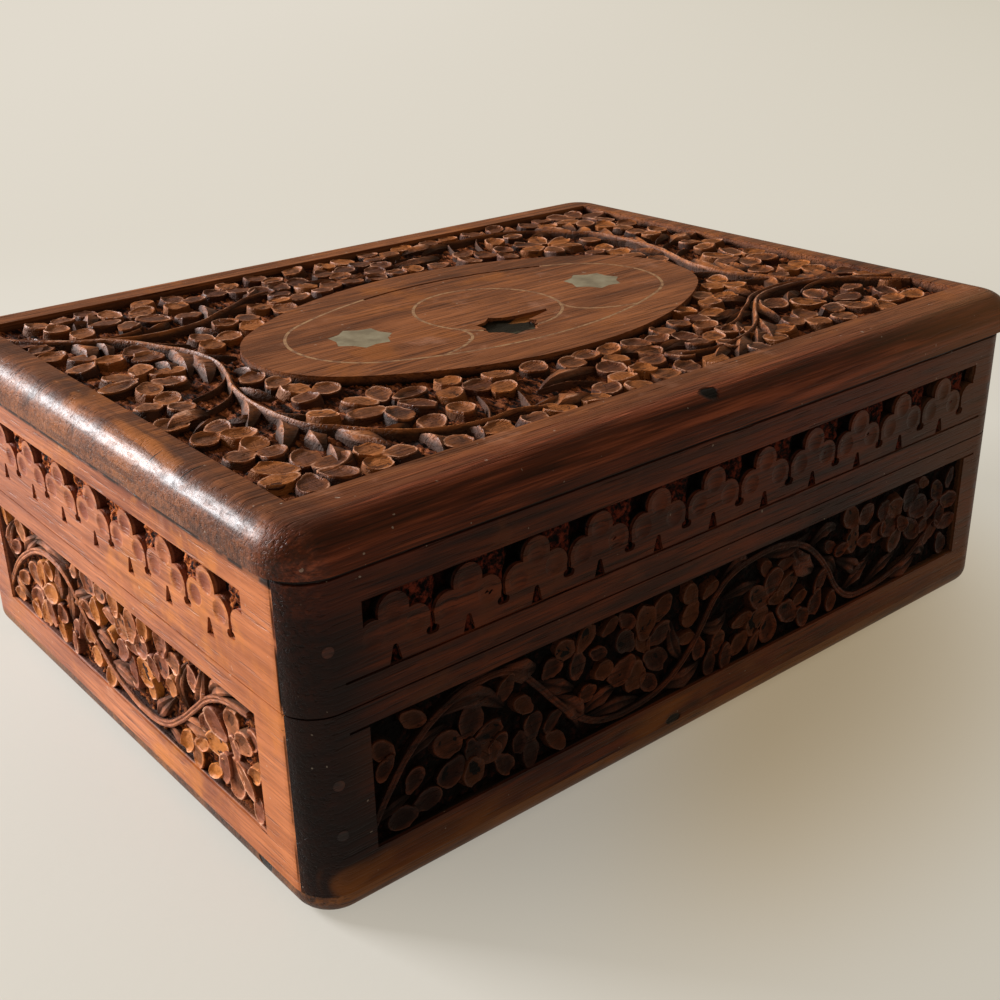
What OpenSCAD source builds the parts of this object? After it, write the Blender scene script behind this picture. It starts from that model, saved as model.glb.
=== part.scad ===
// Keepsake box of carved hardwood: a box body and a hinged lid, in millimetres.
// X runs along the length, Y from the front to the back, Z up from the face that it rests on.
// The origin is at the middle of that face.

/* [Box] */
// Length of the sides, outside
box_length = 249; // [230:1:300]
// Depth of the sides from front to back, outside
box_depth = 188; // [176:1:230]
// Height of the body's upper edge above the face it rests on
body_height = 51.3; // [48:0.1:70]
// Height of the lid's sides, below its top board
skirt_height = 32.6; // [31:0.1:45]
// Gap between the body and the closed lid
lid_gap = 0.4; // [0.3:0.05:0.8]
// Radius of the upright corners, seen from above
corner_radius = 9.6; // [8.5:0.1:12]

/* [Boards] */
// Thickness of the front and back boards
board_thick = 7.5; // [7:0.25:8.5]
// Thickness of the end boards
end_thick = 10; // [10:0.5:14]
// Thickness of the base board
base_thick = 6; // [5:0.5:9]
// Radius of the base board's lower edge
base_round = 5; // [2:0.5:6]
// Thickness of the top board
top_thick = 10; // [8:0.5:14]
// Radius of the top board's upper edge
top_round = 7.5; // [4:0.5:9]
// How far the top board stands out past the sides
overhang = 2.6; // [2.6:0.1:6]

/* [Carved field of the top] */
// Depth of the field below the top's surface
field_depth = 3.5; // [2:0.25:4.5]
// Flat border at each end of the field
field_border_end = 11.6; // [10:0.2:20]
// Flat border in front of the field
field_border_front = 17; // [12:0.5:22]
// Flat border behind the field
field_border_back = 14.3; // [12:0.1:20]
// Half the length of the oval plaque
oval_half_length = 75.7; // [70:0.1:90]
// Half the depth of the oval plaque
oval_half_depth = 46; // [42:0.5:56]
// Radius of the oval plaque's two ends
oval_end_radius = 31; // [20:0.5:36]

/* [Inlay] */
// Width of the brass wires and strips
wire_width = 0.9; // [0.6:0.1:1.4]
// Depth of the brass wires and strips
wire_depth = 0.8; // [0.5:0.1:1.2]
// Half the length of the oval wire line
wire_half_length = 63; // [60:0.5:66]
// Half the depth of the oval wire line
wire_half_depth = 33; // [30:0.5:38]
// Radius of the oval wire line's two ends
wire_end_radius = 24; // [18:0.5:28]
// Radius of the brass ring in the middle
ring_radius = 21.5; // [16:0.5:24]
// Half the length of the ovals that the two brass arcs beside the ring follow
lobe_half_length = 21.5; // [20:0.25:23]
// Half the depth of those ovals
lobe_half_depth = 13; // [11:0.25:14]
// Radius of those ovals' ends
lobe_end_radius = 9; // [7:0.25:10]
// Distance of those ovals' centres from the middle
lobe_offset = 40; // [39:0.25:42]
// Radius of a rosette, from its centre to its tips
rosette_radius = 9; // [6:0.25:11]
// Radius of a rosette's notches
rosette_notch = 7.2; // [5:0.1:8.5]
// Points round a rosette
rosette_points = 7; // [5:1:12]
// Distance of each rosette from the middle
rosette_offset = 43; // [40:0.5:46]
// Thickness of the rosettes
rosette_thick = 1.4; // [1:0.1:2]
// Distance of the empty pocket from the middle, towards the front
pocket_offset = 18; // [14:0.5:20]
// Room between an inlay and the side of its groove
inlay_room = 0.05; // [0.02:0.01:0.1]

/* [Carved band of the lid] */
// Plain strip above the band
band_drop = 9.2; // [8:0.2:12]
// Height of the band
band_height = 17.2; // [16.8:0.1:19]
// Depth of the band's recesses
band_depth = 3.2; // [1.5:0.1:3.5]
// Distance from one carved club to the next
club_pitch = 19.35; // [18.5:0.05:22]
// Plain ends of the band on the long boards
band_margin_long = 16; // [14:0.5:24]
// Plain ends of the band on the end boards
band_margin_end = 20.5; // [18:0.5:28]
// Radius of a club's three petals
petal_radius = 3.9; // [3.4:0.1:4.2]
// Width of the hollow scooped into each petal
scoop_width = 5.6; // [4:0.1:6]
// Depth of the hollow scooped into each petal
scoop_depth = 0.5; // [0.4:0.05:1.4]

/* [Carved panels of the body] */
// Plain strip above a panel
panel_drop = 5.5; // [4:0.25:10]
// Plain strip below a panel, above the base board
panel_rise = 8.2; // [6:0.2:12]
// Depth of a panel's ground
panel_depth = 3; // [1.5:0.25:3.5]
// Plain ends of a panel on the long boards
panel_margin_long = 16; // [14:0.5:24]
// Plain ends of a panel on the end boards
panel_margin_end = 20; // [18:0.5:28]

/* [Pegs] */
// Radius of the wooden pegs
peg_radius = 1.3; // [1:0.1:1.6]
// Distance of the pegs from the ends of the long boards
peg_inset = 7.6; // [6:0.1:8]
// How far a peg goes into the end board
peg_bite = 9; // [6:0.5:16]
// Height of the body's lower pegs
peg_low = 21.5; // [18:0.5:26]
// Height of the body's upper pegs
peg_high = 34.4; // [30:0.2:44]
// Height of the lid's pegs above its lower edge
peg_up = 14.8; // [8:0.2:20]
// Room round a peg or a screw in its hole
peg_room = 0.03; // [0.01:0.01:0.08]

/* [Hinges] */
// Length of a hinge's leaves
hinge_length = 26; // [22:0.5:34]
// Distance of each hinge's middle from the end of the box
hinge_inset = 48.5; // [40:0.5:60]
// Thickness of a hinge leaf
leaf_thick = 0.9; // [0.8:0.05:1.2]
// How far a leaf reaches into the back board
leaf_reach = 6; // [5.5:0.1:6.5]
// Radius of the hinge knuckles
knuckle_radius = 1.6; // [1.4:0.05:1.65]
// Distance of the hinge pin's axis behind the back board
pin_offset = 0.9; // [0.7:0.05:0.95]
// Radius of the hinge pin
pin_radius = 0.8; // [0.6:0.05:1]
// Running fit of the pin in the knuckles
pin_room = 0.05; // [0.02:0.01:0.1]
// Clearance between the parts of a hinge that turn past each other
turn_room = 0.3; // [0.25:0.05:0.5]
// Distance between the two screws of a leaf
screw_pitch = 17; // [14:0.5:19]
// Radius of a hinge screw's shank
screw_radius = 0.9; // [0.7:0.05:1]
// Radius of a hinge screw's head
screw_head = 1.6; // [1.3:0.05:1.7]
// Length of a hinge screw
screw_length = 9; // [6:0.5:12]

/* [Hidden] */
$fn = 72;
// How far a cutting shape runs past a surface
past = 1;

body_top = body_height;
lid_low = body_height + lid_gap;
seam_z = lid_low + skirt_height;
top_z = seam_z + top_thick;
hinge_offset = box_length / 2 - hinge_inset;
pin_y = box_depth / 2 + pin_offset;
pin_z = body_height + lid_gap / 2;

// Flat part that a board's edge keeps beside its rounding
edge_flat = 0.5;
base_edge = min(base_round, base_thick - edge_flat);
top_edge = min(top_round, top_thick - edge_flat);

field_low_x = -box_length / 2 - overhang + field_border_end;
field_low_y = -box_depth / 2 - overhang + field_border_front;
field_high_y = box_depth / 2 + overhang - field_border_back;
// The carved flowers are drawn on a field of this half length, half depth and middle, and spread with it
drawn_half_length = 115.5;
drawn_half_depth = 81;
drawn_middle_y = 1.3;
// Trefoils of one half of the field: x, y and turn. Half a turn of the field gives the other half
trefoils = [
    [-100, 73, 25], [-60.5, 70.5, 105], [-44, 72.5, 60], [-42, 47, 40], [-58, 38.5, 40], [-105.5, 33, 100],
    [-72, 29.5, 115], [-106, -9.5, 55], [-75.5, -25, 115], [-105.5, -35.5, 65], [-105, -50, 65],
    [-46, -47, 90], [-85.5, -70.5, 100], [-8, -66.5, 100], [-3, -53, 25], [8, -63.5, 80], [21, -53, 70],
    [27, -64.5, 40],
];
// Blossoms of one half: x, y, turn and number of petals
blossoms = [[-80.5, 64.5, 35, 5], [-101.5, 11, 10, 6], [-66, -45, 10, 6], [-102.5, -67, 5, 6]];
// Single petals of one half: x and y
single_petals = [
    [-111.5, 62], [-96.5, 60], [-88, 77], [-70, 76.5], [-66.5, 55], [-37, 63.5], [-111.5, 53],
    [-111.5, 45.5], [-92.5, 35], [-92.5, 27.5], [-80, -6], [-77.5, -13.5], [-112, -22.5], [-82, -41.5],
    [-65.5, -62], [-55.5, -60], [-68, -75.5], [-57, -75], [-47.5, -76], [-38.5, -74.5], [-27, -76],
    [-37.5, -54.5], [-33.5, -47], [-23, -48.5], [-13.5, -51.5], [-19.5, -72], [-13.5, -76],
    [-1.5, -74.5], [6, -73.5], [16, -75.5], [31, -76], [9.5, -52.3], [31, -47.5], [35, -54],
];
// Vines of one half, as points along them: x and y. The front and the back have one more each
vines = [
    [
        [-96, 49.3], [-90, 45.5], [-82, 43.5], [-74, 44], [-66, 46], [-60, 50], [-53, 54], [-45, 59],
        [-36, 61.5],
    ],
    [
        [-97, 50], [-90, 41.5], [-86, 32], [-82.5, 24], [-81.5, 10], [-84.5, -1], [-88, -10], [-90, -20],
        [-90.5, -30], [-90, -38], [-88, -46], [-84, -51], [-79, -58], [-72, -64.5], [-65, -68], [-55, -70],
        [-46, -69.5], [-40, -72.5],
    ],
    [[-116.5, 67.6], [-108, 58.5], [-100, 51.5], [-92, 49.3], [-83, 51.5]],
];
front_vine = [
    [12, -66.5], [20, -69], [28, -69], [38, -66.5], [47, -61.5], [58, -52], [68, -45], [80, -43],
    [92, -44.5], [104, -50], [116.5, -57],
];
back_vine = [
    [37, -59], [45, -56.4], [53, -51], [60, -47.4], [66, -43.4], [74, -41.4], [82, -41], [90, -43],
    [99, -47.5], [108, -55], [116.5, -65.2],
];
vine_half_width = 0.5;
// Distance of a trefoil's petals from its centre, and radius of every petal's round end
trefoil_reach = 4.6;
petal_end = 3;
// Distances of a blossom petal's round end and of its narrower root from the centre, and the root's radius
blossom_reach = 8.6;
blossom_root = 5.2;
blossom_root_radius = 2.2;
// How far the petals' and vines' tops lie below the top's surface
petal_drop = 1.1;

ring_y = -1.5;
lobe_y = -14.5;
// How far above its oval's middle an arc may run before it meets the ring
lobe_rise = 4;
pocket_x = -6;
// The pocket's tail: its reach to the right, its two corners at the root and its tip
tail_reach = 18;
tail_root_low = -2;
tail_root_high = 6;
tail_tip_low = 3.4;
tail_tip_high = 4.8;
// The stretch of the oval line that has lost its wire, at the back
lost_wire_from = -21;
lost_wire_to = 43;

band_high = seam_z - band_drop;
band_low = band_high - band_height;
band_long = box_length - 2 * band_margin_long;
band_end = box_depth - 2 * band_margin_end;
clubs_end = floor(band_end / club_pitch);
// Distance from the band's left end to its first club: the long bands start with half a recess
first_club_long = 7.6;
first_club_end = (band_end - (clubs_end - 1) * club_pitch) / 2;
// Strip of sunk ground over the clubs
ground_over_clubs = 0.5;
// Centres of a club's petals below the band's upper edge, and of the lower two beside its middle
petal_upper = petal_radius + ground_over_clubs;
petal_lower = 9.2;
petal_side = 5.3;
drop_radius = 1;
drop_half_width = 0.7;
drop_height = 3.6;
slit_half_width = 0.65;
funnel_half_width = 2.4;
funnel_drop = 6.6;
shoulder_inset = 1;
shoulder_drop = 7.2;
// How far neighbouring recesses run into each other, over the clubs
recess_lap = 0.2;
slot_half_width = 1.7;
slot_tip_radius = 0.7;
slot_height = 4.6;
line_width = 0.6;
line_depth = 0.5;
line_overrun = 5;

panel_low = base_thick + panel_rise;
panel_high = body_top - panel_drop;
panel_long = box_length - 2 * panel_margin_long;
panel_end = box_depth - 2 * panel_margin_end;
// The panels' flowers are drawn on panels of these half lengths and heights, and spread with them
drawn_long = 108.5;
drawn_end = 74;
drawn_low = 14.2;
drawn_high = 45.8;
// Flowers of a long panel: x, height, distance of the petals from the centre, and the petals' angles
flowers_long = [
    [-28, 32, 7.2, [18, 75, 140, 215, 262, 320]], [-82, 27.5, 6.8, [20, 80, 150, 220, 275, 330]],
    [23, 26.5, 7.4, [35, 92, 150, 205, 262, 322]], [81, 34, 7, [8, 62, 130, 185, 236, 312]],
    [-49, 40, 4.6, [55, 150, 265]], [58.5, 38.5, 4.6, [130, 25, 250]], [99, 34.5, 4.6, [120, 200, 350]],
];
vine_long = [
    [-109.5, 17], [-104, 27], [-97, 35.5], [-88, 41.5], [-78, 44], [-69, 42.5], [-62, 36], [-56, 29],
    [-48, 21], [-40, 17], [-30, 16.2], [-20, 18], [-12, 23], [-6, 30], [-1, 37], [5, 41.5], [14, 43.5],
    [25, 43.5], [34, 40.5], [40, 36], [46, 29], [51, 21.5], [57, 17], [65, 16], [75, 17], [85, 20], [93, 25],
];
flowers_end = [
    [11, 33, 7, [30, 88, 145, 205, 262, 325]], [59.5, 28.5, 7.8, [40, 85, 150, 195, 240, 275, 318]],
    [-48, 25.5, 6.8, [20, 75, 140, 211, 262, 320]], [-9.5, 40, 4.6, [150, 35, 265]],
    [29.5, 40, 4.6, [100, 345, 235]],
];
vine_end = [
    [-75, 18], [-66, 28], [-57, 34.5], [-46, 39.5], [-36, 40.5], [-28, 38.5], [-21, 33], [-14, 27],
    [-6, 21.5], [4, 17.8], [15, 16.5], [25, 18.5], [34, 24], [43, 31.5], [51, 38], [60, 41.5], [69, 42.4],
];
panel_petal_radius = 2.7;
panel_vine_half_width = 0.8;
// Lowest and highest place of a petal's middle on the drawing
petal_lowest = 17.6;
petal_highest = 42.6;
// How far the tops of a panel's petals and vine lie below the board's face
panel_petal_drop = 1.2;

body_peg_heights = [peg_low, peg_high];
lid_peg_heights = [lid_low + peg_up];
peg_length = board_thick + peg_bite;
knuckle_length = (hinge_length - 2 * turn_room) / 3;
pin_head_radius = pin_radius + 0.5;
pin_head_length = 0.5;
screw_y = box_depth / 2 - leaf_reach / 2;
screw_head_depth = leaf_thick - 0.1;
screw_slot_width = 0.4;
screw_slot_depth = 0.35;

wood_light = [0.66, 0.42, 0.26];
wood_mid = [0.50, 0.30, 0.18];
wood_dark = [0.27, 0.17, 0.13];
wood_peg = [0.36, 0.24, 0.17];
brass = [0.72, 0.57, 0.30];
stone = [0.64, 0.62, 0.52];

// Outline of the box's sides from above, with round corners
module plan() {
    square([box_length - 2 * corner_radius, box_depth], center = true);
    square([box_length, box_depth - 2 * corner_radius], center = true);
    for (x = [-1, 1], y = [-1, 1])
        translate([x * (box_length / 2 - corner_radius), y * (box_depth / 2 - corner_radius)])
            circle(corner_radius);
}

// Section of a slab's edge: it reaches outwards along X and is round at its upper outer corner
module edge_section(reach, thick, round) {
    difference() {
        square([reach, thick]);
        translate([reach - round, thick - round])
            difference() {
                square(round + past);
                circle(round);
            }
    }
}

// Slab with round corners and a round upper edge, its lower face at z = 0
module rounded_slab(length, depth, corner, thick, round) {
    straight_x = length - 2 * corner;
    straight_y = depth - 2 * corner;
    translate([-straight_x / 2, -straight_y / 2, 0])
        cube([straight_x, straight_y, thick]);
    for (side = [0, 1])
        mirror([side, 0, 0])
            translate([straight_x / 2, straight_y / 2, 0])
                rotate([90, 0, 0])
                    linear_extrude(straight_y)
                        edge_section(corner, thick, round);
    for (side = [0, 1])
        mirror([0, side, 0])
            translate([-straight_x / 2, straight_y / 2, 0])
                rotate([90, 0, 90])
                    linear_extrude(straight_x)
                        edge_section(corner, thick, round);
    for (side_x = [0, 1], side_y = [0, 1])
        mirror([side_x, 0, 0])
            mirror([0, side_y, 0])
                translate([straight_x / 2, straight_y / 2, 0])
                    rotate_extrude(angle = 90)
                        edge_section(corner, thick, round);
}

// Oval drawn with four arcs: end arcs of the given radius, joined by two flatter ones
module oval(half_length, half_depth, end_radius) {
    end_x = half_length - end_radius;
    flat_radius = (end_x * end_x + half_depth * half_depth - end_radius * end_radius)
        / (2 * (half_depth - end_radius));
    flat_y = flat_radius - half_depth;
    join_x = end_x + end_radius * end_x / (flat_radius - end_radius);
    intersection() {
        square([2 * join_x, 2 * half_depth + past], center = true);
        translate([0, -flat_y]) circle(flat_radius, $fn = 360);
        translate([0, flat_y]) circle(flat_radius, $fn = 360);
    }
    for (x = [-end_x, end_x])
        translate([x, 0]) circle(end_radius);
}

// Sunk field of the top around the plaque, seen from above
module sunk_field() {
    difference() {
        translate([field_low_x, field_low_y])
            square([-2 * field_low_x, field_high_y - field_low_y]);
        oval(oval_half_length, oval_half_depth, oval_end_radius);
    }
}

// A drawn place, spread with the field and counted from the field's middle
function spread(place) = [
    place[0] * -field_low_x / drawn_half_length,
    (place[1] - drawn_middle_y) * (field_high_y - field_low_y) / 2 / drawn_half_depth,
];

// Places a shape at a flower's centre, given as its x and y
module at_flower(flower) {
    translate(spread(flower)) children();
}

// Strip of the given half width along a line of points
module strip(points, half_width) {
    last = len(points) - 1;
    sideways = [
        for (i = [0 : last])
            let (along = points[min(i + 1, last)] - points[max(i - 1, 0)])
                [-along[1], along[0]] * half_width / norm(along)
    ];
    polygon([
        for (i = [0 : last]) points[i] + sideways[i],
        for (i = [last : -1 : 0]) points[i] - sideways[i],
    ]);
}

// Vines of the whole field, seen from above
module carved_vines() {
    for (turn = [0, 180])
        translate([0, (field_high_y + field_low_y) / 2])
            rotate(turn)
                for (vine = concat(vines, [turn == 0 ? front_vine : back_vine]))
                    strip([for (place = vine) spread(place)], vine_half_width);
}

// Petals of all the field's flowers, seen from above
module carved_petals() {
    for (turn = [0, 180])
        translate([0, (field_high_y + field_low_y) / 2])
            rotate(turn) {
                for (flower = trefoils, petal = [0 : 2])
                    at_flower(flower)
                        rotate(flower[2] + 120 * petal)
                            translate([trefoil_reach, 0]) circle(petal_end);
                for (flower = blossoms, petal = [0 : flower[3] - 1])
                    at_flower(flower)
                        rotate(flower[2] + 360 / flower[3] * petal) {
                            translate([blossom_reach, 0]) circle(petal_end);
                            translate([blossom_root, 0]) circle(blossom_root_radius);
                        }
                for (flower = single_petals)
                    at_flower(flower) circle(petal_end);
            }
}

// Oval line of the brass wire, grown sideways by the given room
module oval_line(room) {
    grow = wire_width / 2 + room;
    difference() {
        oval(wire_half_length + grow, wire_half_depth + grow, wire_end_radius + grow);
        oval(wire_half_length - grow, wire_half_depth - grow, wire_end_radius - grow);
    }
}

module ring_line(room) {
    grow = wire_width / 2 + room;
    translate([0, ring_y])
        difference() {
            circle(ring_radius + grow);
            circle(ring_radius - grow);
        }
}

// Arc beside the ring, on the left where side is -1: it runs from the oval line to the ring
module lobe_line(side, room) {
    grow = wire_width / 2 + room;
    stop = wire_width / 2 + 2 * inlay_room - room;
    difference() {
        intersection() {
            translate([side * lobe_offset, lobe_y])
                difference() {
                    oval(lobe_half_length + grow, lobe_half_depth + grow, lobe_end_radius + grow);
                    oval(lobe_half_length - grow, lobe_half_depth - grow, lobe_end_radius - grow);
                }
            translate([-wire_half_length, lobe_y + lobe_rise - wire_half_depth])
                square([2 * wire_half_length, wire_half_depth]);
            oval(wire_half_length - stop, wire_half_depth - stop, wire_end_radius - stop);
        }
        translate([0, ring_y]) circle(ring_radius + stop);
    }
}

// Pointed rosette, grown outwards by the given room
module rosette(room) {
    steps = 2 * rosette_points;
    polygon([
        for (i = [0 : steps - 1])
            let (r = (i % 2 == 0 ? rosette_radius : rosette_notch) + room, a = 90 + 360 * i / steps)
                [r * cos(a), r * sin(a)]
    ]);
}

// Empty pocket that has lost its rosette, with a short tail to the right, grown by the given room
module pocket(room) {
    translate([pocket_x, -pocket_offset]) {
        rosette(room);
        polygon([
            [0, tail_root_low], [tail_reach, tail_tip_low], [tail_reach, tail_tip_high], [0, tail_root_high],
        ]);
    }
}

// One recess of the carved band, between two clubs, centred on x = 0 with the band's upper edge at y = 0
module club_recess() {
    half = club_pitch / 2;
    edge = half + recess_lap;
    shoulder = half - shoulder_inset;
    drop_y = -petal_lower - drop_height;
    difference() {
        polygon([
            [-edge, 0], [-edge, -petal_upper],
            [-shoulder, -shoulder_drop], [-funnel_half_width, -funnel_drop],
            [-slit_half_width, -petal_lower], [-slit_half_width, drop_y],
            [slit_half_width, drop_y], [slit_half_width, -petal_lower],
            [funnel_half_width, -funnel_drop], [shoulder, -shoulder_drop],
            [edge, -petal_upper], [edge, 0],
        ]);
        for (side = [-1, 1]) {
            translate([side * half, -petal_upper]) circle(petal_radius);
            translate([side * (half - petal_side), -petal_lower]) circle(petal_radius);
            translate([side * half - petal_radius, -petal_lower])
                square([2 * petal_radius, petal_lower - petal_upper]);
        }
    }
    for (side = [-1, 1])
        translate([side * drop_half_width, drop_y]) circle(drop_radius, $fn = 24);
    translate([0, drop_y])
        square([2 * drop_half_width, 2 * drop_radius], center = true);
}

// Small tapered slot under a club, standing on y = 0
module club_slot() {
    polygon([
        [-slot_half_width, 0], [slot_half_width, 0],
        [slot_tip_radius, slot_height - slot_tip_radius], [-slot_tip_radius, slot_height - slot_tip_radius],
    ]);
    translate([0, slot_height - slot_tip_radius]) circle(slot_tip_radius, $fn = 24);
}

// Recesses and slots of a whole band of the given length
module band_pattern(length, first_club) {
    last = floor((length - first_club) / club_pitch);
    intersection() {
        translate([-length / 2, band_low]) square([length, band_height]);
        for (i = [0 : last + 1])
            translate([-length / 2 + first_club + (i - 0.5) * club_pitch, band_high]) club_recess();
    }
    for (i = [0 : last])
        translate([-length / 2 + first_club + i * club_pitch, band_low]) club_slot();
}

// Places a flat shape, drawn as the face is seen, on the front and cuts it inwards to a depth
module cut_face(half_reach, depth) {
    translate([0, -half_reach + depth, 0])
        rotate([90, 0, 0])
            linear_extrude(depth + past)
                children();
}

// Hollows scooped into the petals of a band's clubs
module band_scoops(length, first_club, half_reach) {
    last = floor((length - first_club) / club_pitch);
    half_width = scoop_width / 2;
    ball = (half_width * half_width + scoop_depth * scoop_depth) / (2 * scoop_depth);
    for (i = [0 : last])
        translate([-length / 2 + first_club + i * club_pitch, -half_reach - ball + scoop_depth, band_high]) {
            // The last club of a long band is cut off by the band's end and keeps no scoops
            if (first_club + i * club_pitch + petal_side + petal_radius < length) {
                translate([0, 0, -petal_upper]) sphere(ball);
                for (side = [-1, 1])
                    translate([side * petal_side, 0, -petal_lower]) sphere(ball);
            }
        }
}

// Band carved on a board that faces the front
module carved_band(length, first_club, half_reach) {
    cut_face(half_reach, band_depth) band_pattern(length, first_club);
    band_scoops(length, first_club, half_reach);
}

// Outline of a panel of the given length
module panel_area(length) {
    translate([-length / 2, panel_low]) square([length, panel_high - panel_low]);
}

// A drawn place on a panel of the given length, drawn with the given half length
function on_panel(place, length, drawn_half) = [
    place[0] * length / 2 / drawn_half,
    panel_low + (place[1] - drawn_low) * (panel_high - panel_low) / (drawn_high - drawn_low),
];

// Petals and vine that stand in a panel
module panel_carving(length, drawn_half, flowers, vine) {
    for (flower = flowers, angle = flower[3]) {
        height = flower[1] + flower[2] * sin(angle);
        place = [flower[0] + flower[2] * cos(angle), min(max(height, petal_lowest), petal_highest)];
        translate(on_panel(place, length, drawn_half)) circle(panel_petal_radius);
    }
    strip([for (place = vine) on_panel(place, length, drawn_half)], panel_vine_half_width);
}

// Sunk panel on a board that faces the front, with its flowers and vine left standing
module sunk_panel(length, half_reach, drawn_half, flowers, vine) {
    cut_face(half_reach, panel_petal_drop) panel_area(length);
    cut_face(half_reach, panel_depth)
        difference() {
            panel_area(length);
            panel_carving(length, drawn_half, flowers, vine);
        }
}

// Everything carved on the body's long boards, on one that faces the front
module carved_long_panel() {
    sunk_panel(panel_long, box_depth / 2, drawn_long, flowers_long, vine_long);
    incised_line(panel_long, panel_high, box_depth / 2);
}

// Panel of the body's left end board
module carved_end_panel() {
    rotate([0, 0, -90]) sunk_panel(panel_end, box_length / 2, drawn_end, flowers_end, vine_end);
}

// Fine incised line along a long board, from one end of the carving and past it
module incised_line(length, z, half_reach) {
    cut_face(half_reach, line_depth)
        translate([-length / 2 - line_overrun, z - line_width / 2])
            square([length + 2 * line_overrun, line_width]);
}

// Plain long board at the front, between two heights
module long_board(low, high) {
    translate([0, 0, low])
        linear_extrude(high - low)
            intersection() {
                plan();
                translate([-box_length / 2 - past, -box_depth / 2 - past])
                    square([box_length + 2 * past, board_thick + past]);
            }
}

// Plain board at the left end, between two heights, fitted between the long boards
module short_board(low, high) {
    translate([0, 0, low])
        linear_extrude(high - low)
            intersection() {
                plan();
                translate([-box_length / 2 - past, -box_depth / 2 + board_thick])
                    square([end_thick + past, box_depth - 2 * board_thick]);
            }
}

// Pegs through the long boards into the end boards, at the given heights, grown by the given room
module pegs(heights, room) {
    for (turn = [0, 180], side = [-1, 1], z = heights)
        rotate([0, 0, turn])
            translate([side * (box_length / 2 - peg_inset), -box_depth / 2 + peg_length, z])
                rotate([90, 0, 0])
                    cylinder(r = peg_radius + room, h = peg_length + (room > 0 ? past : 0));
}

// Pegs trimmed to the rounded faces of the long boards
module flush_pegs(heights, low, high) {
    intersection() {
        pegs(heights, 0);
        translate([0, 0, low]) linear_extrude(high - low) plan();
    }
}

// Everything that a hinge takes out of the back boards, at the given X
module hinge_seat(x, low, high) {
    translate([x - hinge_length / 2 - inlay_room, box_depth / 2 - leaf_reach - inlay_room, low])
        cube([hinge_length + 2 * inlay_room, leaf_reach + past, high - low]);
    translate([x - hinge_length / 2 - pin_head_length - turn_room, pin_y, pin_z])
        rotate([0, 90, 0])
            cylinder(r = knuckle_radius + turn_room, h = hinge_length + 2 * (pin_head_length + turn_room));
}

// Cylinder along the hinge pin's axis, from one X to another
module pin_bar(from, to, radius) {
    translate([from, pin_y, pin_z])
        rotate([0, 90, 0])
            cylinder(r = radius, h = to - from, $fn = 48);
}

// Screws of the two hinges as they point down into the body, their heads' faces at the given height
module hinge_screws(z, room, slotted) {
    for (side = [-1, 1], place = [-1, 1])
        translate([side * hinge_offset + place * screw_pitch / 2, screw_y, z])
            difference() {
                union() {
                    translate([0, 0, -screw_length])
                        cylinder(r = screw_radius + room, h = screw_length - screw_head_depth, $fn = 32);
                    translate([0, 0, -screw_head_depth])
                        cylinder(r1 = screw_radius + room, r2 = screw_head + room,
                            h = screw_head_depth, $fn = 32);
                }
                if (slotted)
                    translate([-screw_head - past, -screw_slot_width / 2, -screw_slot_depth])
                        cube([2 * (screw_head + past), screw_slot_width, screw_slot_depth + past]);
            }
}

// Turns what lies in the body into the same thing in the lid, about the hinge pin's height
module lid_side() {
    translate([0, 0, 2 * pin_z]) mirror([0, 0, 1]) children();
}

// Leaf with its plate let into the body; outer knuckles for the body's leaf, the middle one for the lid's
module hinge_leaf(x, middle) {
    half = hinge_length / 2;
    inner = knuckle_length / 2;
    difference() {
        union() {
            translate([x - half, box_depth / 2 - leaf_reach, body_top - leaf_thick])
                cube([hinge_length, leaf_reach + pin_offset, leaf_thick]);
            if (middle)
                pin_bar(x - inner, x + inner, knuckle_radius);
            else {
                pin_bar(x - half, x - inner - turn_room, knuckle_radius);
                pin_bar(x + inner + turn_room, x + half, knuckle_radius);
            }
        }
        // Room for the other leaf's knuckles
        if (middle) {
            pin_bar(x - half - past, x - inner, knuckle_radius + turn_room);
            pin_bar(x + inner, x + half + past, knuckle_radius + turn_room);
        } else
            pin_bar(x - inner - turn_room, x + inner + turn_room, knuckle_radius + turn_room);
        pin_bar(x - half - past, x + half + past, pin_radius + pin_room);
        hinge_screws(body_top, peg_room, false);
    }
}

module hinge_pin(x) {
    half = hinge_length / 2;
    pin_bar(x - half, x + half, pin_radius);
    pin_bar(x - half - pin_head_length, x - half, pin_head_radius);
    pin_bar(x + half, x + half + pin_head_length, pin_head_radius);
}

module base_board() {
    color(wood_light)
        translate([0, 0, base_thick])
            mirror([0, 0, 1])
                rounded_slab(box_length, box_depth, corner_radius, base_thick, base_edge);
}

module front_board() {
    color(wood_dark)
        difference() {
            long_board(base_thick, body_top);
            carved_long_panel();
            pegs(body_peg_heights, peg_room);
        }
}

module back_board() {
    color(wood_dark)
        difference() {
            rotate([0, 0, 180])
                difference() {
                    long_board(base_thick, body_top);
                    carved_long_panel();
                }
            pegs(body_peg_heights, peg_room);
            for (side = [-1, 1])
                hinge_seat(side * hinge_offset, body_top - leaf_thick, body_top + past);
            hinge_screws(body_top, peg_room, false);
        }
}

module left_end_board() {
    color(wood_light)
        difference() {
            short_board(base_thick, body_top);
            carved_end_panel();
            pegs(body_peg_heights, peg_room);
        }
}

module right_end_board() {
    color(wood_light)
        rotate([0, 0, 180])
            difference() {
                short_board(base_thick, body_top);
                carved_end_panel();
                pegs(body_peg_heights, peg_room);
            }
}

module body_pegs() {
    color(wood_peg)
        flush_pegs(body_peg_heights, base_thick, body_top);
}

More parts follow.
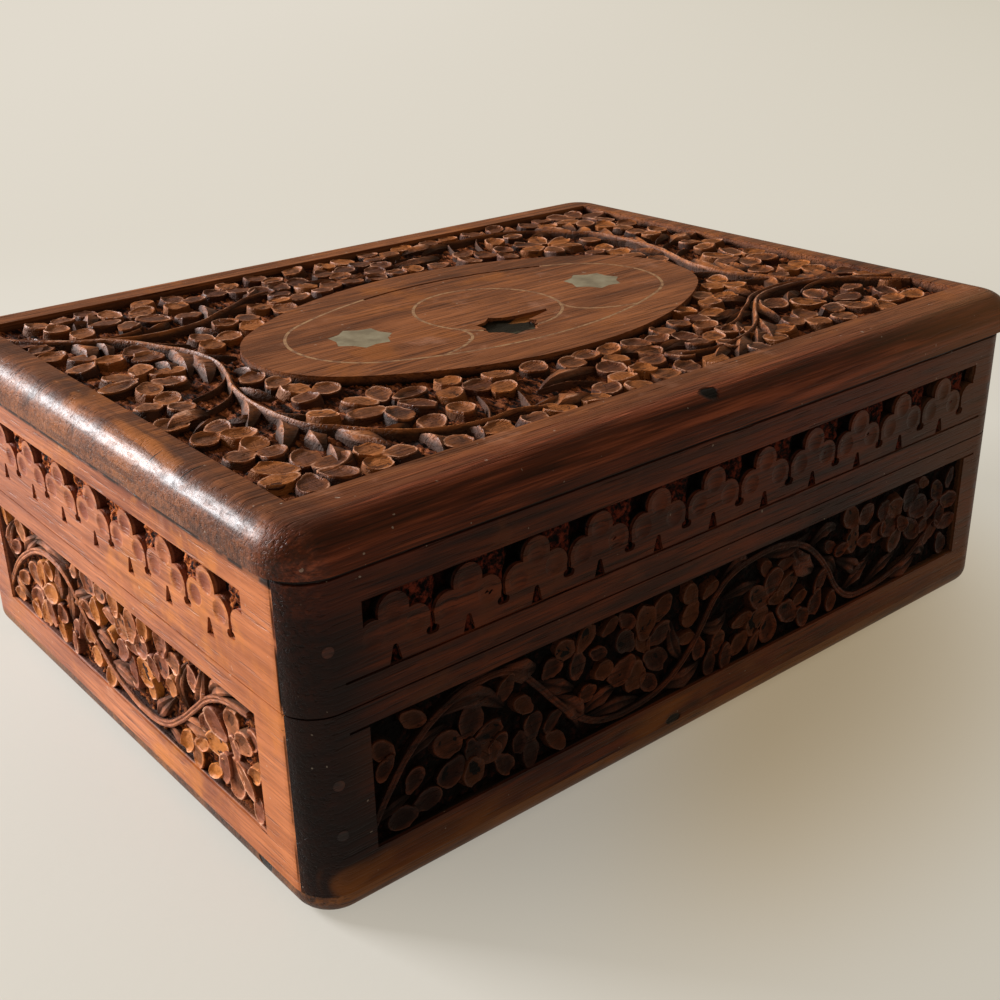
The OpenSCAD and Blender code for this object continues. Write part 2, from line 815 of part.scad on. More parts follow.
module lid_top_board() {
    color(wood_mid)
        difference() {
            translate([0, 0, seam_z])
                rounded_slab(box_length + 2 * overhang, box_depth + 2 * overhang,
                    corner_radius + overhang, top_thick, top_edge);
            translate([0, 0, top_z - petal_drop])
                linear_extrude(petal_drop + past) sunk_field();
            translate([0, 0, top_z - field_depth])
                linear_extrude(field_depth + past)
                    difference() {
                        sunk_field();
                        carved_petals();
                        carved_vines();
                    }
            translate([0, 0, top_z - wire_depth])
                linear_extrude(wire_depth + past) {
                    oval_line(inlay_room);
                    ring_line(inlay_room);
                    lobe_line(-1, inlay_room);
                    lobe_line(1, inlay_room);
                }
            translate([0, 0, top_z - rosette_thick])
                linear_extrude(rosette_thick + past) {
                    for (side = [-1, 1])
                        translate([side * rosette_offset, 0]) rosette(inlay_room);
                    pocket(0);
                }
        }
}

// A skirt board of the lid at the front, with its band
module carved_long_skirt() {
    difference() {
        long_board(lid_low, seam_z);
        carved_band(band_long, first_club_long, box_depth / 2);
        incised_line(band_long, band_low, box_depth / 2);
    }
}

module carved_short_skirt() {
    difference() {
        short_board(lid_low, seam_z);
        rotate([0, 0, -90])
            carved_band(band_end, first_club_end, box_length / 2);
        pegs(lid_peg_heights, peg_room);
    }
}

module lid_front_board() {
    color(wood_dark)
        difference() {
            carved_long_skirt();
            pegs(lid_peg_heights, peg_room);
        }
}

module lid_back_board() {
    color(wood_dark)
        difference() {
            rotate([0, 0, 180]) carved_long_skirt();
            pegs(lid_peg_heights, peg_room);
            for (side = [-1, 1])
                hinge_seat(side * hinge_offset, lid_low - past, lid_low + leaf_thick);
            lid_side() hinge_screws(body_top, peg_room, false);
        }
}

module lid_left_board() {
    color(wood_light) carved_short_skirt();
}

module lid_right_board() {
    color(wood_light) rotate([0, 0, 180]) carved_short_skirt();
}

module lid_pegs() {
    color(wood_peg)
        flush_pegs(lid_peg_heights, lid_low, seam_z);
}

module oval_wire() {
    color(brass)
        translate([0, 0, top_z - wire_depth])
            linear_extrude(wire_depth)
                difference() {
                    oval_line(0);
                    translate([lost_wire_from, 0])
                        square([lost_wire_to - lost_wire_from, wire_half_depth + wire_width]);
                }
}

module ring_strip() {
    color(brass)
        translate([0, 0, top_z - wire_depth])
            linear_extrude(wire_depth)
                difference() {
                    ring_line(0);
                    pocket(wire_width);
                }
}

module lobe_strip(side) {
    color(brass)
        translate([0, 0, top_z - wire_depth])
            linear_extrude(wire_depth) lobe_line(side, 0);
}

module inlaid_rosette(side) {
    color(stone)
        translate([side * rosette_offset, 0, top_z - rosette_thick])
            linear_extrude(rosette_thick) rosette(0);
}

module body_leaf(side) {
    color(brass) hinge_leaf(side * hinge_offset, false);
}

module lid_leaf(side) {
    color(brass) lid_side() hinge_leaf(side * hinge_offset, true);
}

base_board();
front_board();
back_board();
left_end_board();
right_end_board();
body_pegs();
lid_top_board();
lid_front_board();
lid_back_board();
lid_left_board();
lid_right_board();
lid_pegs();
oval_wire();
ring_strip();
lobe_strip(-1);  // left_lobe_strip
lobe_strip(1);  // right_lobe_strip
inlaid_rosette(-1);  // left_rosette
inlaid_rosette(1);  // right_rosette
body_leaf(-1);  // left_hinge_body_leaf
body_leaf(1);  // right_hinge_body_leaf
lid_leaf(-1);  // left_hinge_lid_leaf
lid_leaf(1);  // right_hinge_lid_leaf
color(brass) hinge_pin(-hinge_offset);  // left_hinge_pin
color(brass) hinge_pin(hinge_offset);  // right_hinge_pin
color(brass) hinge_screws(body_top, 0, true);  // body_hinge_screws
color(brass) lid_side() hinge_screws(body_top, 0, true);  // lid_hinge_screws
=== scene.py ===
"""Carved keepsake box with a hinged lid: the carving, the finishes, the studio and the camera."""

import math
import random

import bmesh
import bpy
from mathutils import Matrix, Vector


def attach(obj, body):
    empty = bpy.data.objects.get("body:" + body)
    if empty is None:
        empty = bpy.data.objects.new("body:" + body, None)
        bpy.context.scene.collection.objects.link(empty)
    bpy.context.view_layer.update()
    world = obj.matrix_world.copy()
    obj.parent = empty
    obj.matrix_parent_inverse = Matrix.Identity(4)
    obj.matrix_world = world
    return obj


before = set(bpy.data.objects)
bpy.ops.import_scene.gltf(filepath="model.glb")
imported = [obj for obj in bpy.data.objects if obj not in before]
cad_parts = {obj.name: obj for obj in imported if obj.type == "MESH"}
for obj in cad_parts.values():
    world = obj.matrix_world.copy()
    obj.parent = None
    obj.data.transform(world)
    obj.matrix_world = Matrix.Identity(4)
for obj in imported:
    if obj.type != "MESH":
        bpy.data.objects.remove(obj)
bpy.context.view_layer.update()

MM = 0.001

# Heights and depths of the box, in millimetres, as the boards are cut.
TOP_Z = 94.3
FIELD_DEPTH = 3.5
PANEL_DEPTH = 3.0
BAND_DEPTH = 3.2
CLUB_PITCH = 19.35
HALF_LENGTH = 124.5
HALF_DEPTH = 94.0
FIELD_MIDDLE = 1.3
# Heights that the petals left standing in the solid boards reach above the ground of the lid and of a panel.
TOP_PETAL = 2.4
PANEL_PETAL = 1.8
# How far a rough ground reaches up its face, from and to, and the height of its cuts.
FIELD_RANGE, PANEL_RANGE, BAND_RANGE = (-79.6, 82.2), (14.3, 45.7), (58, 75)
GROUND_HEIGHT, BAND_GROUND_HEIGHT = 1.5, 2.2
# How far the field's ground reaches sideways from the middle of its face.
FIELD_REACH = 115.4
# The same for a band's, where its first club stands, and on which side of a gap it comes up near the face.
BAND_LONG, BAND_END = (108.4, -100.9, -1), (73.4, -58.05, 1)

# Each carved face lies flat while it is worked: u to the right, v up the face, height out of the ground.
# A face is its origin on the ground and its u, v and outward directions.
FACES = {"top": ((0, 0, TOP_Z - FIELD_DEPTH), (1, 0, 0), (0, 1, 0), (0, 0, 1))}
for side, u, out, half in (
    ("front", (1, 0, 0), (0, -1, 0), HALF_DEPTH),
    ("back", (-1, 0, 0), (0, 1, 0), HALF_DEPTH),
    ("left", (0, -1, 0), (-1, 0, 0), HALF_LENGTH),
    ("right", (0, 1, 0), (1, 0, 0), HALF_LENGTH),
):
    for name, depth in ((side, PANEL_DEPTH), (side + "_band", BAND_DEPTH)):
        FACES[name] = ([way * (half - depth) for way in out], u, (0, 0, 1), out)

# The lid's flowers, drawn for one half of the field. Half a turn about its middle gives the other half.
# A trefoil is its centre and turn, a blossom has its number of petals too, and a single petal is its centre.
TOP_TREFOILS = [
    (-100, 73, 25), (-60.5, 70.5, 105), (-44, 72.5, 60), (-42, 47, 40), (-58, 38.5, 40), (-105.5, 33, 100),
    (-72, 29.5, 115), (-106, -9.5, 55), (-75.5, -25, 115), (-105.5, -35.5, 65), (-105, -50, 65),
    (-46, -47, 90), (-85.5, -70.5, 100), (-8, -66.5, 100), (-3, -53, 25), (8, -63.5, 80), (21, -53, 70),
    (27, -64.5, 40),
]
TOP_BLOSSOMS = [(-80.5, 64.5, 35, 5), (-101.5, 11, 10, 6), (-66, -45, 10, 6), (-102.5, -67, 5, 6)]
TOP_SINGLES = [
    (-111.5, 62), (-96.5, 60), (-88, 77), (-70, 76.5), (-66.5, 55), (-37, 63.5), (-111.5, 53),
    (-111.5, 45.5), (-92.5, 35), (-92.5, 27.5), (-80, -6), (-77.5, -13.5), (-112, -22.5), (-82, -41.5),
    (-65.5, -62), (-55.5, -60), (-68, -75.5), (-57, -75), (-47.5, -76), (-38.5, -74.5), (-27, -76),
    (-37.5, -54.5), (-33.5, -47), (-23, -48.5), (-13.5, -51.5), (-19.5, -72), (-13.5, -76), (-1.5, -74.5),
    (6, -73.5), (16, -75.5), (31, -76), (9.5, -52.3), (31, -47.5), (35, -54),
]
# Distance of a flower's petals from its centre, and a petal's length and width.
TREFOIL = (4.6, 7.3, 7.0)
BLOSSOM = (7.6, 9.6, 6.5)
SINGLE = (0, 7.6, 6.9)
PANEL_TREFOIL = (4.6, 7.6, 5.9)
PANEL_SINGLE = (0, 7.4, 5.2)
# The small petals that fill a panel's gaps: least and most of their length and width, and the room they want.
SMALL_LENGTHS, SMALL_WIDTHS, SMALL_SPACING = (5.6, 7.4), (3.6, 5.0), 5.4
# A stem, twig or leaf: points (u, v, half width).
TOP_STEMS = [
    [(-115.5, 66.5, 1.2), (-108, 58.5, 1.15), (-100, 51.5, 1.05), (-92, 49.3, 0.95), (-83, 51.5, 0.9)],
    [(-96, 49.3, 0.95), (-90, 45.5, 1), (-82, 43.5, 1), (-74, 44, 1), (-66, 46, 1), (-60, 50, 1),
     (-53, 54, 1), (-45, 59, 0.95), (-36, 61.5, 0.9)],
    [(-97, 50, 1), (-90, 41.5, 1.2), (-86, 32, 1.2), (-82.5, 24, 1.15), (-81.5, 10, 1.1), (-84.5, -1, 1.1),
     (-88, -10, 1.15), (-90, -20, 1.15), (-90.5, -30, 1.15), (-90, -38, 1.1), (-88, -46, 1.1),
     (-84, -51, 1.05), (-79, -58, 1), (-72, -64.5, 1), (-65, -68, 0.95), (-55, -70, 0.95),
     (-46, -69.5, 0.95), (-40, -72.5, 0.9)],
    [(-90, 41, 0.9), (-84.5, 35, 0.85), (-78.5, 30.5, 0.6)],
    [(-83, 23, 0.8), (-77, 15.5, 0.7), (-74, 13.5, 0.5)],
    [(-84.5, -0.5, 0.8), (-91, -7, 0.75), (-99, -9.5, 0.5)],
    [(-87.5, -9, 0.8), (-93, -16, 0.75), (-102, -20, 0.5)],
    [(-90.3, -30, 0.8), (-86, -37, 0.75), (-81.5, -40, 0.5)],
    [(-46, -54, 0.5), (-50, -63, 0.7), (-55, -69.8, 0.7)],
    [(-35, -53, 0.5), (-38, -61, 0.65), (-42, -69, 0.7)],
    [(-33, -61, 0.5), (-24, -62.5, 0.75), (-17.5, -66, 0.5)],
]
TOP_STEMS_FRONT = [
    [(12, -66.5, 0.9), (20, -69, 0.95), (28, -69, 1), (38, -66.5, 1.05), (47, -61.5, 1.1), (58, -52, 1.15),
     (68, -45, 1.15), (80, -43, 1.15), (92, -44.5, 1.2), (104, -50, 1.2), (115.5, -56.5, 1.2)],
]
TOP_STEMS_BACK = [
    [(37, -59, 0.9), (45, -56.4, 0.95), (53, -51, 1), (60, -47.4, 1), (66, -43.4, 1.05), (74, -41.4, 1.05),
     (82, -41, 1.1), (90, -43, 1.1), (99, -47.5, 1.15), (108, -55, 1.2), (115.5, -64, 1.2)],
]
TOP_LEAVES = [
    [(-85.5, 77.5, 0.3), (-88, 73, 1.9), (-92, 66, 0.2)],
    [(-57.3, 65, 0.3), (-59, 56, 1.8), (-64.5, 46, 0.2)],
    [(-103, 53, 0.3), (-101.5, 45, 2.3), (-105, 37, 0.3)],
    [(-84.8, 31, 0.3), (-85.5, 21, 2.2), (-90.3, 8.5, 0.2)],
    [(-82.5, 22, 0.4), (-83.5, 13, 2.4), (-89, 1, 0.2)],
    [(-100.5, -19.7, 0.5), (-106.5, -20.5, 2.8), (-113.5, -25, 0.5)],
    [(-90, -18, 0.4), (-92, -26, 1.9), (-98, -34.5, 0.2)],
    [(-90, -35, 0.4), (-93, -43.5, 2.0), (-99, -51.5, 0.2)],
    [(-88.7, -46, 0.4), (-90.5, -51.5, 2.0), (-92.2, -57.5, 0.3)],
    [(-90, -56, 0.3), (-91.8, -62, 1.7), (-95.5, -69, 0.2)],
    [(-84.5, -50, 0.4), (-83, -58, 2.4), (-80, -68, 0.3)],
    [(-87, -8, 0.3), (-85.3, -15, 1.6), (-82.5, -21.5, 0.2)],
    [(-98, 51, 0.3), (-96.5, 44, 1.5), (-99, 37, 0.2)], [(-66, 46, 0.3), (-61, 42.5, 1.7), (-56.5, 39, 0.2)],
    [(-56, 52, 0.3), (-49, 52.5, 1.6), (-42, 51.5, 0.2)], [(-47, 58.5, 0.3), (-40, 64, 1.8), (-35, 70, 0.2)],
    [(-31, -59.8, 0.3), (-20, -57.3, 2.2), (-9.5, -59, 0.3)],
    [(-44, -69.5, 0.3), (-36, -69.2, 1.5), (-29, -67, 0.2)],
    [(-38.5, -73.5, 0.4), (-32, -71.5, 2.5), (-25, -72.5, 0.4)],
    [(-83.5, 50.5, 0.3), (-77, 52, 1.6), (-72, 55.5, 0.2)], [(-71, 44, 0.3), (-69, 39, 1.7), (-67, 34, 0.2)],
    [(-72, -65, 0.3), (-71, -71, 1.8), (-74, -77.5, 0.2)],
    [(-62, -69, 0.3), (-60, -73, 1.4), (-63, -78, 0.2)],
    [(-106, 57, 0.3), (-109.5, 53.5, 1.3), (-113.5, 50, 0.2)],
    [(-109, -28.5, 0.2), (-104, -26.5, 1.4), (-98, -24, 0.2)],
    [(-91, -27.5, 0.3), (-96.5, -30, 1.2), (-99.5, -27, 0.2)],
    [(-80, -57, 0.3), (-74.5, -58.5, 1.6), (-69, -57.5, 0.2)],
    [(-88, 66, 0.2), (-93.5, 70, 1.4), (-95, 67, 0.2)],
    [(-79.5, 5, 0.3), (-77.5, -0.5, 1.5), (-79.5, -5, 0.2)],
    [(-93, 24, 0.2), (-91, 18, 1.6), (-93.5, 12, 0.2)], [(-12, 63, 0.3), (-6, 58, 1.8), (3, 51, 0.2)],
    [(-24, 65.5, 0.3), (-17, 61, 1.6), (-9, 62, 0.2)],
]
TOP_LEAVES_FRONT = [
    [(38, -66.5, 0.3), (31, -71, 2.0), (22, -77.5, 0.2)], [(29, -69, 0.3), (22, -71.5, 1.6), (14, -76, 0.2)],
    [(58, -52.5, 0.3), (51, -52.5, 1.3), (43, -53.8, 0.2)],
    [(48, -60.5, 0.3), (41, -61, 1.3), (33.5, -61.8, 0.2)],
    [(68, -45.5, 0.3), (63, -50.5, 1.8), (56.5, -58, 0.2)],
    [(53, -56.5, 0.3), (47, -65.5, 2.1), (38.5, -76, 0.2)],
    [(46, -62, 0.3), (41, -68, 1.7), (33, -74.5, 0.2)], [(79, -43, 0.3), (85, -36, 1.8), (88, -28, 0.2)],
]


PANEL_LONG = {
    "reach": 108.4,
    "stems": [
        [(-110, 17, 1), (-104, 27, 1.1), (-97, 35.5, 1.1), (-88, 41.5, 1.1), (-78, 44, 1.1),
         (-69, 42.5, 1.1), (-62, 36, 1.1), (-56, 29, 1.1), (-48, 21, 1.1), (-40, 17, 1.1), (-30, 16.2, 1.1),
         (-20, 18, 1.1), (-12, 23, 1.1), (-6, 30, 1.1), (-1, 37, 1.1), (5, 41.5, 1.1), (14, 43.5, 1.1),
         (25, 43.5, 1.1), (34, 40.5, 1.1), (40, 36, 1.1), (46, 29, 1.1), (51, 21.5, 1.1), (57, 17, 1.1),
         (65, 16, 1.1), (75, 17, 1.1), (85, 20, 1), (93, 25, 0.95)],
    ],
    "leaves": [
        [(-101, 31, 0.4), (-94, 35, 1.4), (-88, 35.8, 0.2)],
        [(-92, 39.5, 0.4), (-80, 40.5, 2.2), (-71, 33.5, 0.3)],
        [(-88, 42, 0.4), (-79, 44.2, 1.4), (-66, 44.6, 0.3)],
        [(-74, 44, 0.4), (-66, 41.5, 2.4), (-61, 40, 0.3)],
        [(-108, 19.5, 0.4), (-103, 21.5, 1.3), (-98, 22.5, 0.2)],
        [(-62, 36, 0.4), (-55, 32.5, 1.7), (-49, 29, 0.2)],
        [(-57, 30, 0.4), (-50, 24.5, 2.2), (-47.5, 17.5, 0.4)],
        [(-48, 21, 0.4), (-41, 24, 1.9), (-35, 24.5, 0.2)],
        [(-46, 19, 0.4), (-36, 19.5, 1.6), (-27, 17, 0.3)],
        [(-20, 18, 0.4), (-12, 17.5, 2.2), (-5, 19, 0.3)], [(-12, 23, 0.4), (-16, 29, 1.7), (-17, 36, 0.3)],
        [(-6, 30, 0.4), (0, 28, 1.8), (5, 30, 0.3)], [(2, 40, 0.4), (8, 44, 1.8), (13, 41, 0.3)],
        [(3, 34.5, 0.3), (10, 35.5, 1.4), (17, 34.5, 0.3)], [(17, 43, 0.4), (28, 41, 1.6), (38, 42.5, 0.3)],
        [(30, 41.5, 0.4), (34, 34.5, 2.7), (41, 30.5, 0.4)], [(38, 38, 0.4), (44, 42, 1.7), (50, 40.5, 0.3)],
        [(43, 33, 0.4), (47, 31, 1.4), (51, 26, 0.3)], [(51, 30, 0.4), (58, 26, 1.8), (64, 21, 0.3)],
        [(55, 19, 0.4), (60, 23, 2.0), (67, 26.5, 0.3)], [(65, 17, 0.4), (73, 22, 1.6), (80, 23, 0.3)],
        [(75, 16.5, 0.4), (83, 16.8, 2.0), (91, 19.5, 0.4)], [(85, 20, 0.4), (91, 21, 1.6), (95, 17, 0.3)],
    ],
    "blossoms": [
        (-28, 32, (18, 75, 140, 215, 262, 320), 7.2, 8.6, 6.4),
        (-82, 27.5, (20, 80, 150, 220, 275, 330), 6.8, 8.2, 6.2),
        (23, 26.5, (35, 92, 150, 205, 262, 322), 7.4, 8.8, 6.5),
        (81, 34, (8, 62, 130, 185, 236, 312), 7.0, 8.6, 6.8),
    ],
    "trefoils": [(-49, 40, (55, 150, 265)), (58.5, 38.5, (130, 25, 250)), (99, 34.5, (120, 200, 350))],
    "singles": [
        (-101, 17.8, 180), (-94, 19.2, 20), (-63, 25.5, 90), (-64, 18, 270), (-10, 41.5, 120),
        (-9.5, 35, 240), (1, 23.5, 90), (4, 17.5, 270), (42, 20, 250), (43, 26.5, 70), (69, 33, 200),
        (70.5, 40, 100), (101.5, 19.5, 300), (96, 25, 60), (104.5, 26, 20), (-105, 38, 120), (-72, 18, 300),
        (-73.5, 25, 60), (10, 19, 220), (36, 17.8, 300), (-20, 41.5, 60),
    ],
}
PANEL_END = {
    "reach": 73.9,
    "stems": [
        [(-75, 18, 1.1), (-66, 28, 1.1), (-57, 34.5, 1.1), (-46, 39.5, 1.1), (-36, 40.5, 1.1),
         (-28, 38.5, 1.1), (-21, 33, 1.1), (-14, 27, 1.1), (-6, 21.5, 1.1), (4, 17.8, 1.1), (15, 16.5, 1.1),
         (25, 18.5, 1.1), (34, 24, 1.1), (43, 31.5, 1.1), (51, 38, 1.1), (60, 41.5, 1), (69, 42.4, 0.95)],
    ],
    "leaves": [
        [(-60, 33, 0.4), (-54, 38.5, 1.7), (-46, 43.5, 0.3)],
        [(-50, 41, 0.4), (-38, 44.5, 1.8), (-27, 42, 0.3)],
        [(-12, 39.5, 0.4), (-21, 35, 1.6), (-31, 29, 0.3)], [(-36, 40, 0.4), (-34, 34, 2.0), (-37, 28, 0.3)],
        [(-28, 38.5, 0.4), (-27, 31, 1.8), (-31, 24, 0.3)], [(-14, 27, 0.4), (-6, 28.5, 1.9), (1, 26, 0.3)],
        [(-6, 21.5, 0.4), (4, 22.5, 1.8), (13, 21, 0.3)], [(19, 17.5, 0.4), (24, 22.5, 1.7), (30, 28, 0.3)],
        [(24, 18, 0.4), (31, 17.5, 1.5), (37, 15.8, 0.3)], [(34, 24, 0.4), (42, 26, 1.9), (52, 27, 0.3)],
        [(38, 28, 0.4), (36, 35, 1.6), (40, 42, 0.3)], [(43, 32, 0.4), (47, 38, 1.9), (48, 44.5, 0.4)],
        [(50, 38, 0.4), (56, 43.5, 1.8), (64, 44.8, 0.3)],
        [(-72, 22, 0.4), (-66, 21, 1.8), (-60, 17.5, 0.3)], [(-66, 28, 0.4), (-69, 35, 1.9), (-65, 42, 0.3)],
        [(-20, 32.5, 0.4), (-22, 26, 1.5), (-19, 19.5, 0.3)],
    ],
    "blossoms": [
        (11, 33, (30, 88, 145, 205, 262, 325), 7.0, 8.6, 6.4),
        (59.5, 28.5, (40, 150, 195, 240, 275, 318, 85), 7.8, 9.6, 6.2),
        (-48, 25.5, (20, 75, 140, 211, 262, 320), 6.8, 8.2, 6.2),
    ],
    "trefoils": [(-9.5, 40, (150, 35, 265)), (29.5, 40, (100, 345, 235))],
    "singles": [
        (41, 17.5, 270), (-6.5, 16.8, 240), (-37, 18.5, 290), (-28, 18, 250), (20, 26, 60), (22, 33.5, 100),
        (-59, 41.5, 90), (-56, 17.5, 250), (-70, 43, 100), (70, 17.5, 300), (70, 36, 20), (36, 19, 230),
        (-14, 20, 200), (19, 43.5, 80), (2, 43.5, 100),
    ],
}


def link(thing):
    bpy.context.collection.objects.link(thing)
    return thing


def clear_selection():
    bpy.ops.object.select_all(action="DESELECT")


def pick(piece, wanted):
    """Selects the vertices of the piece in edit mode that lie where wanted says."""
    bpy.ops.mesh.select_all(action="DESELECT")
    work = bmesh.from_edit_mesh(piece.data)
    for vertex in work.verts:
        vertex.select = wanted(vertex.co)
    work.select_flush(True)
    bmesh.update_edit_mesh(piece.data)


def petal_pattern(cleft):
    """A scooped petal, one long, wide and high, its base at the origin. A cleft one has a notched tip."""
    clear_selection()
    bpy.ops.mesh.primitive_circle_add(vertices=18, radius=0.5, fill_type="NGON", location=(0.5, 0, 0.95))
    petal = bpy.context.object
    bpy.ops.object.transform_apply(location=True, rotation=False, scale=False)
    bpy.ops.object.mode_set(mode="EDIT")
    pick(petal, lambda co: co.x < 0.3)
    bpy.ops.transform.resize(value=(1, 0.86, 1))
    pick(petal, lambda co: co.x < 0.08)
    bpy.ops.transform.translate(value=(-0.06, 0, 0))
    if cleft:
        pick(petal, lambda co: co.x > 0.99)
        bpy.ops.transform.translate(value=(-0.07, 0, -0.1))
    bpy.ops.mesh.select_all(action="SELECT")
    bpy.ops.mesh.inset(thickness=0.012, depth=0.02)
    bpy.ops.mesh.inset(thickness=0.02, depth=0)
    bpy.ops.mesh.inset(thickness=0.05, depth=-0.08)
    bpy.ops.mesh.inset(thickness=0.12, depth=-0.11)
    bpy.ops.mesh.inset(thickness=0.13, depth=-0.05)
    bpy.ops.mesh.select_mode(type="EDGE")
    bpy.ops.mesh.select_all(action="DESELECT")
    bpy.ops.mesh.select_non_manifold()
    bpy.ops.mesh.extrude_region_move(TRANSFORM_OT_translate={"value": (0, 0, -1)})
    bpy.ops.transform.resize(value=(1.12, 1.12, 1), center_override=(0.5, 0, 0))
    bpy.ops.mesh.select_mode(type="VERT")
    bpy.ops.mesh.select_all(action="SELECT")
    bpy.ops.mesh.normals_make_consistent(inside=False)
    bpy.ops.object.mode_set(mode="OBJECT")
    return petal


def note(piece, name, values):
    """Keeps a number for each vertex of the piece, for its material to read."""
    piece.data.attributes.new(name, "FLOAT", "POINT").data.foreach_set("value", values)


def uneven(petal, chance):
    """Pushes a petal's outline in and out a little, in two and three waves round its middle."""
    sizes = [chance.uniform(-0.07, 0.07), chance.uniform(-0.06, 0.06)]
    starts = [chance.uniform(0, 6.28), chance.uniform(0, 6.28)]
    for vertex in petal.data.vertices:
        across, along = vertex.co.x - 0.5, vertex.co.y
        angle = math.atan2(along, across)
        grow = 1 + sizes[0] * math.cos(2 * angle + starts[0]) + sizes[1] * math.cos(3 * angle + starts[1])
        vertex.co.x, vertex.co.y = 0.5 + across * grow, along * grow


def how_far_down(z):
    """0 on the rim of a petal pattern, a little in its scoop, 1 at its foot."""
    return 1 if z < 0.5 else 0.16 if z < 0.84 else 0.06 if z < 0.92 else 0


def set_petals(places, patterns, depth, lowest, chance):
    """Copies of the petal patterns at places (u, v, length, width, turn), each a little different.

    Each is tilted, let down until its highest rim is just under the face, and scooped no lower than lowest.
    It keeps how far down its walls each place is, and a tone of its own."""
    copies = []
    for u, v, length, width, turn in places:
        pattern = patterns[chance.random() < 0.25]
        upper = [vertex.index for vertex in pattern.data.vertices if vertex.co.z > 0.5]
        down = [how_far_down(vertex.co.z) for vertex in pattern.data.vertices]
        copy = pattern.copy()
        copy.data = pattern.data.copy()
        link(copy)
        uneven(copy, chance)
        size = chance.uniform(0.97, 1.08)
        across = width * size * chance.uniform(0.96, 1.04)
        shape = Matrix.Diagonal((length * size * MM, across * MM, depth * MM, 1))
        centred = Matrix.Translation((-0.5 * length * MM, 0, 0))
        tilt = Matrix.Rotation(math.radians(chance.uniform(-12, 12)), 4, "X")
        tilt @= Matrix.Rotation(math.radians(chance.uniform(-12, 5)), 4, "Y")
        spin = Matrix.Rotation(math.radians(turn + chance.uniform(-9, 9)), 4, "Z")
        copy.data.transform(Matrix.Translation((u * MM, v * MM, 0)) @ spin @ tilt @ centred @ shape)
        highest = max(copy.data.vertices[i].co.z for i in upper)
        drop = highest - (depth - chance.uniform(0.08, 0.6)) * MM
        for i in upper:
            place = copy.data.vertices[i].co
            place.z = max(place.z - drop, lowest * MM)
        note(copy, "down", down)
        note(copy, "tone", [chance.uniform(-0.5, 0.5)] * len(down))
        copies.append(copy)
    return copies


def petals_round(u, v, angles, flower):
    """The petals of one flower, at the given angles, as (u, v, length, width, turn)."""
    reach, length, width = flower
    petals = []
    for angle in angles:
        way = math.radians(angle)
        petals.append((u + reach * math.cos(way), v + reach * math.sin(way), length, width, angle))
    return petals


def fill_gaps(places, runs, edges, chance, tries):
    """Adds small single petals where the drawing of a panel leaves room."""
    u_low, u_high, v_low, v_high = edges
    taken = [(p[0], p[1]) for p in places]
    lines = [point[:2] for run in runs for point in dense(run)]
    for _ in range(tries):
        u, v = chance.uniform(u_low, u_high), chance.uniform(v_low, v_high)
        near_petal = any(math.dist((u, v), place) < SMALL_SPACING for place in taken)
        near_line = any(math.dist((u, v), place) < SMALL_SPACING * 0.68 for place in lines)
        if not near_petal and not near_line:
            taken.append((u, v))
            length, width = chance.uniform(*SMALL_LENGTHS), chance.uniform(*SMALL_WIDTHS)
            places.append((u, v, length, width, chance.uniform(0, 360)))


def dense(run):
    """Points close together along a run."""
    points = []
    for first, second in zip(run, run[1:]):
        points += [tuple(a + (b - a) * share / 4 for a, b in zip(first, second)) for share in range(4)]
    return points + [run[-1]]


def wider(runs, share):
    return [[(u, v, size * share) for u, v, size in run] for run in runs]


# Outlines across a stem or leaf of half width 1. The lid's stems are sharp and ridged, the panels' grooved.
RIDGED_STEM = [
    (-1.2, 0), (-0.85, 1.2), (-0.45, 2.4), (-0.08, 3.0), (0.14, 2.95), (0.5, 2.3), (0.85, 1.1), (1.2, 0),
]
GROOVED_STEM = [(-1.3, 0), (-1.0, 2.9), (-0.5, 3.4), (0, 2.9), (0.5, 3.5), (1.0, 3.1), (1.3, 0)]
KEELED_LEAF = [(-1.05, 0), (-0.98, 0.7), (-0.4, 0.95), (0.3, 1.7), (0.5, 1.2), (0.98, 0.5), (1.05, 0)]
GROOVED_LEAF = [(-1.08, 0), (-0.95, 1.1), (-0.5, 1.4), (-0.05, 0.85), (0.5, 1.35), (0.9, 1.05), (1.08, 0)]


def tipped(run):
    """The run with a small point added at each end, so that what is swept along it closes there."""
    def tip(last, before):
        away = math.dist(last[:2], before[:2])
        reach = 1.3 * last[2] / away
        return (last[0] + (last[0] - before[0]) * reach, last[1] + (last[1] - before[1]) * reach, 0.01)
    return [tip(run[0], run[1])] + run + [tip(run[-1], run[-2])]


def sweep(name, runs, outline, steps):
    """Carries an outline along runs of (u, v, size) points, as a mesh that lies flat."""
    clear_selection()
    section = bpy.data.curves.new("outline", "CURVE")
    section.dimensions = "2D"
    line = section.splines.new("POLY")
    line.points.add(len(outline) - 1)
    for point, (across, up) in zip(line.points, outline):
        point.co = (across, up, 0, 1)
    holder = link(bpy.data.objects.new("outline", section))
    bpy.ops.curve.primitive_bezier_curve_add()
    piece = bpy.context.object
    piece.name = name
    curve = piece.data
    curve.splines.clear()
    curve.dimensions = "3D"
    curve.twist_mode = "Z_UP"
    curve.resolution_u = steps
    for run in map(tipped, runs):
        spline = curve.splines.new("BEZIER")
        spline.bezier_points.add(len(run) - 1)
        for point, (u, v, size) in zip(spline.bezier_points, run):
            point.co = (u, v, 0)
            point.radius = size
            point.handle_left_type = point.handle_right_type = "AUTO"
    curve.bevel_mode = "OBJECT"
    curve.bevel_object = holder
    bpy.ops.object.convert(target="MESH")
    bpy.data.objects.remove(holder)
    piece.data.transform(Matrix.Scale(MM, 4))
    return piece


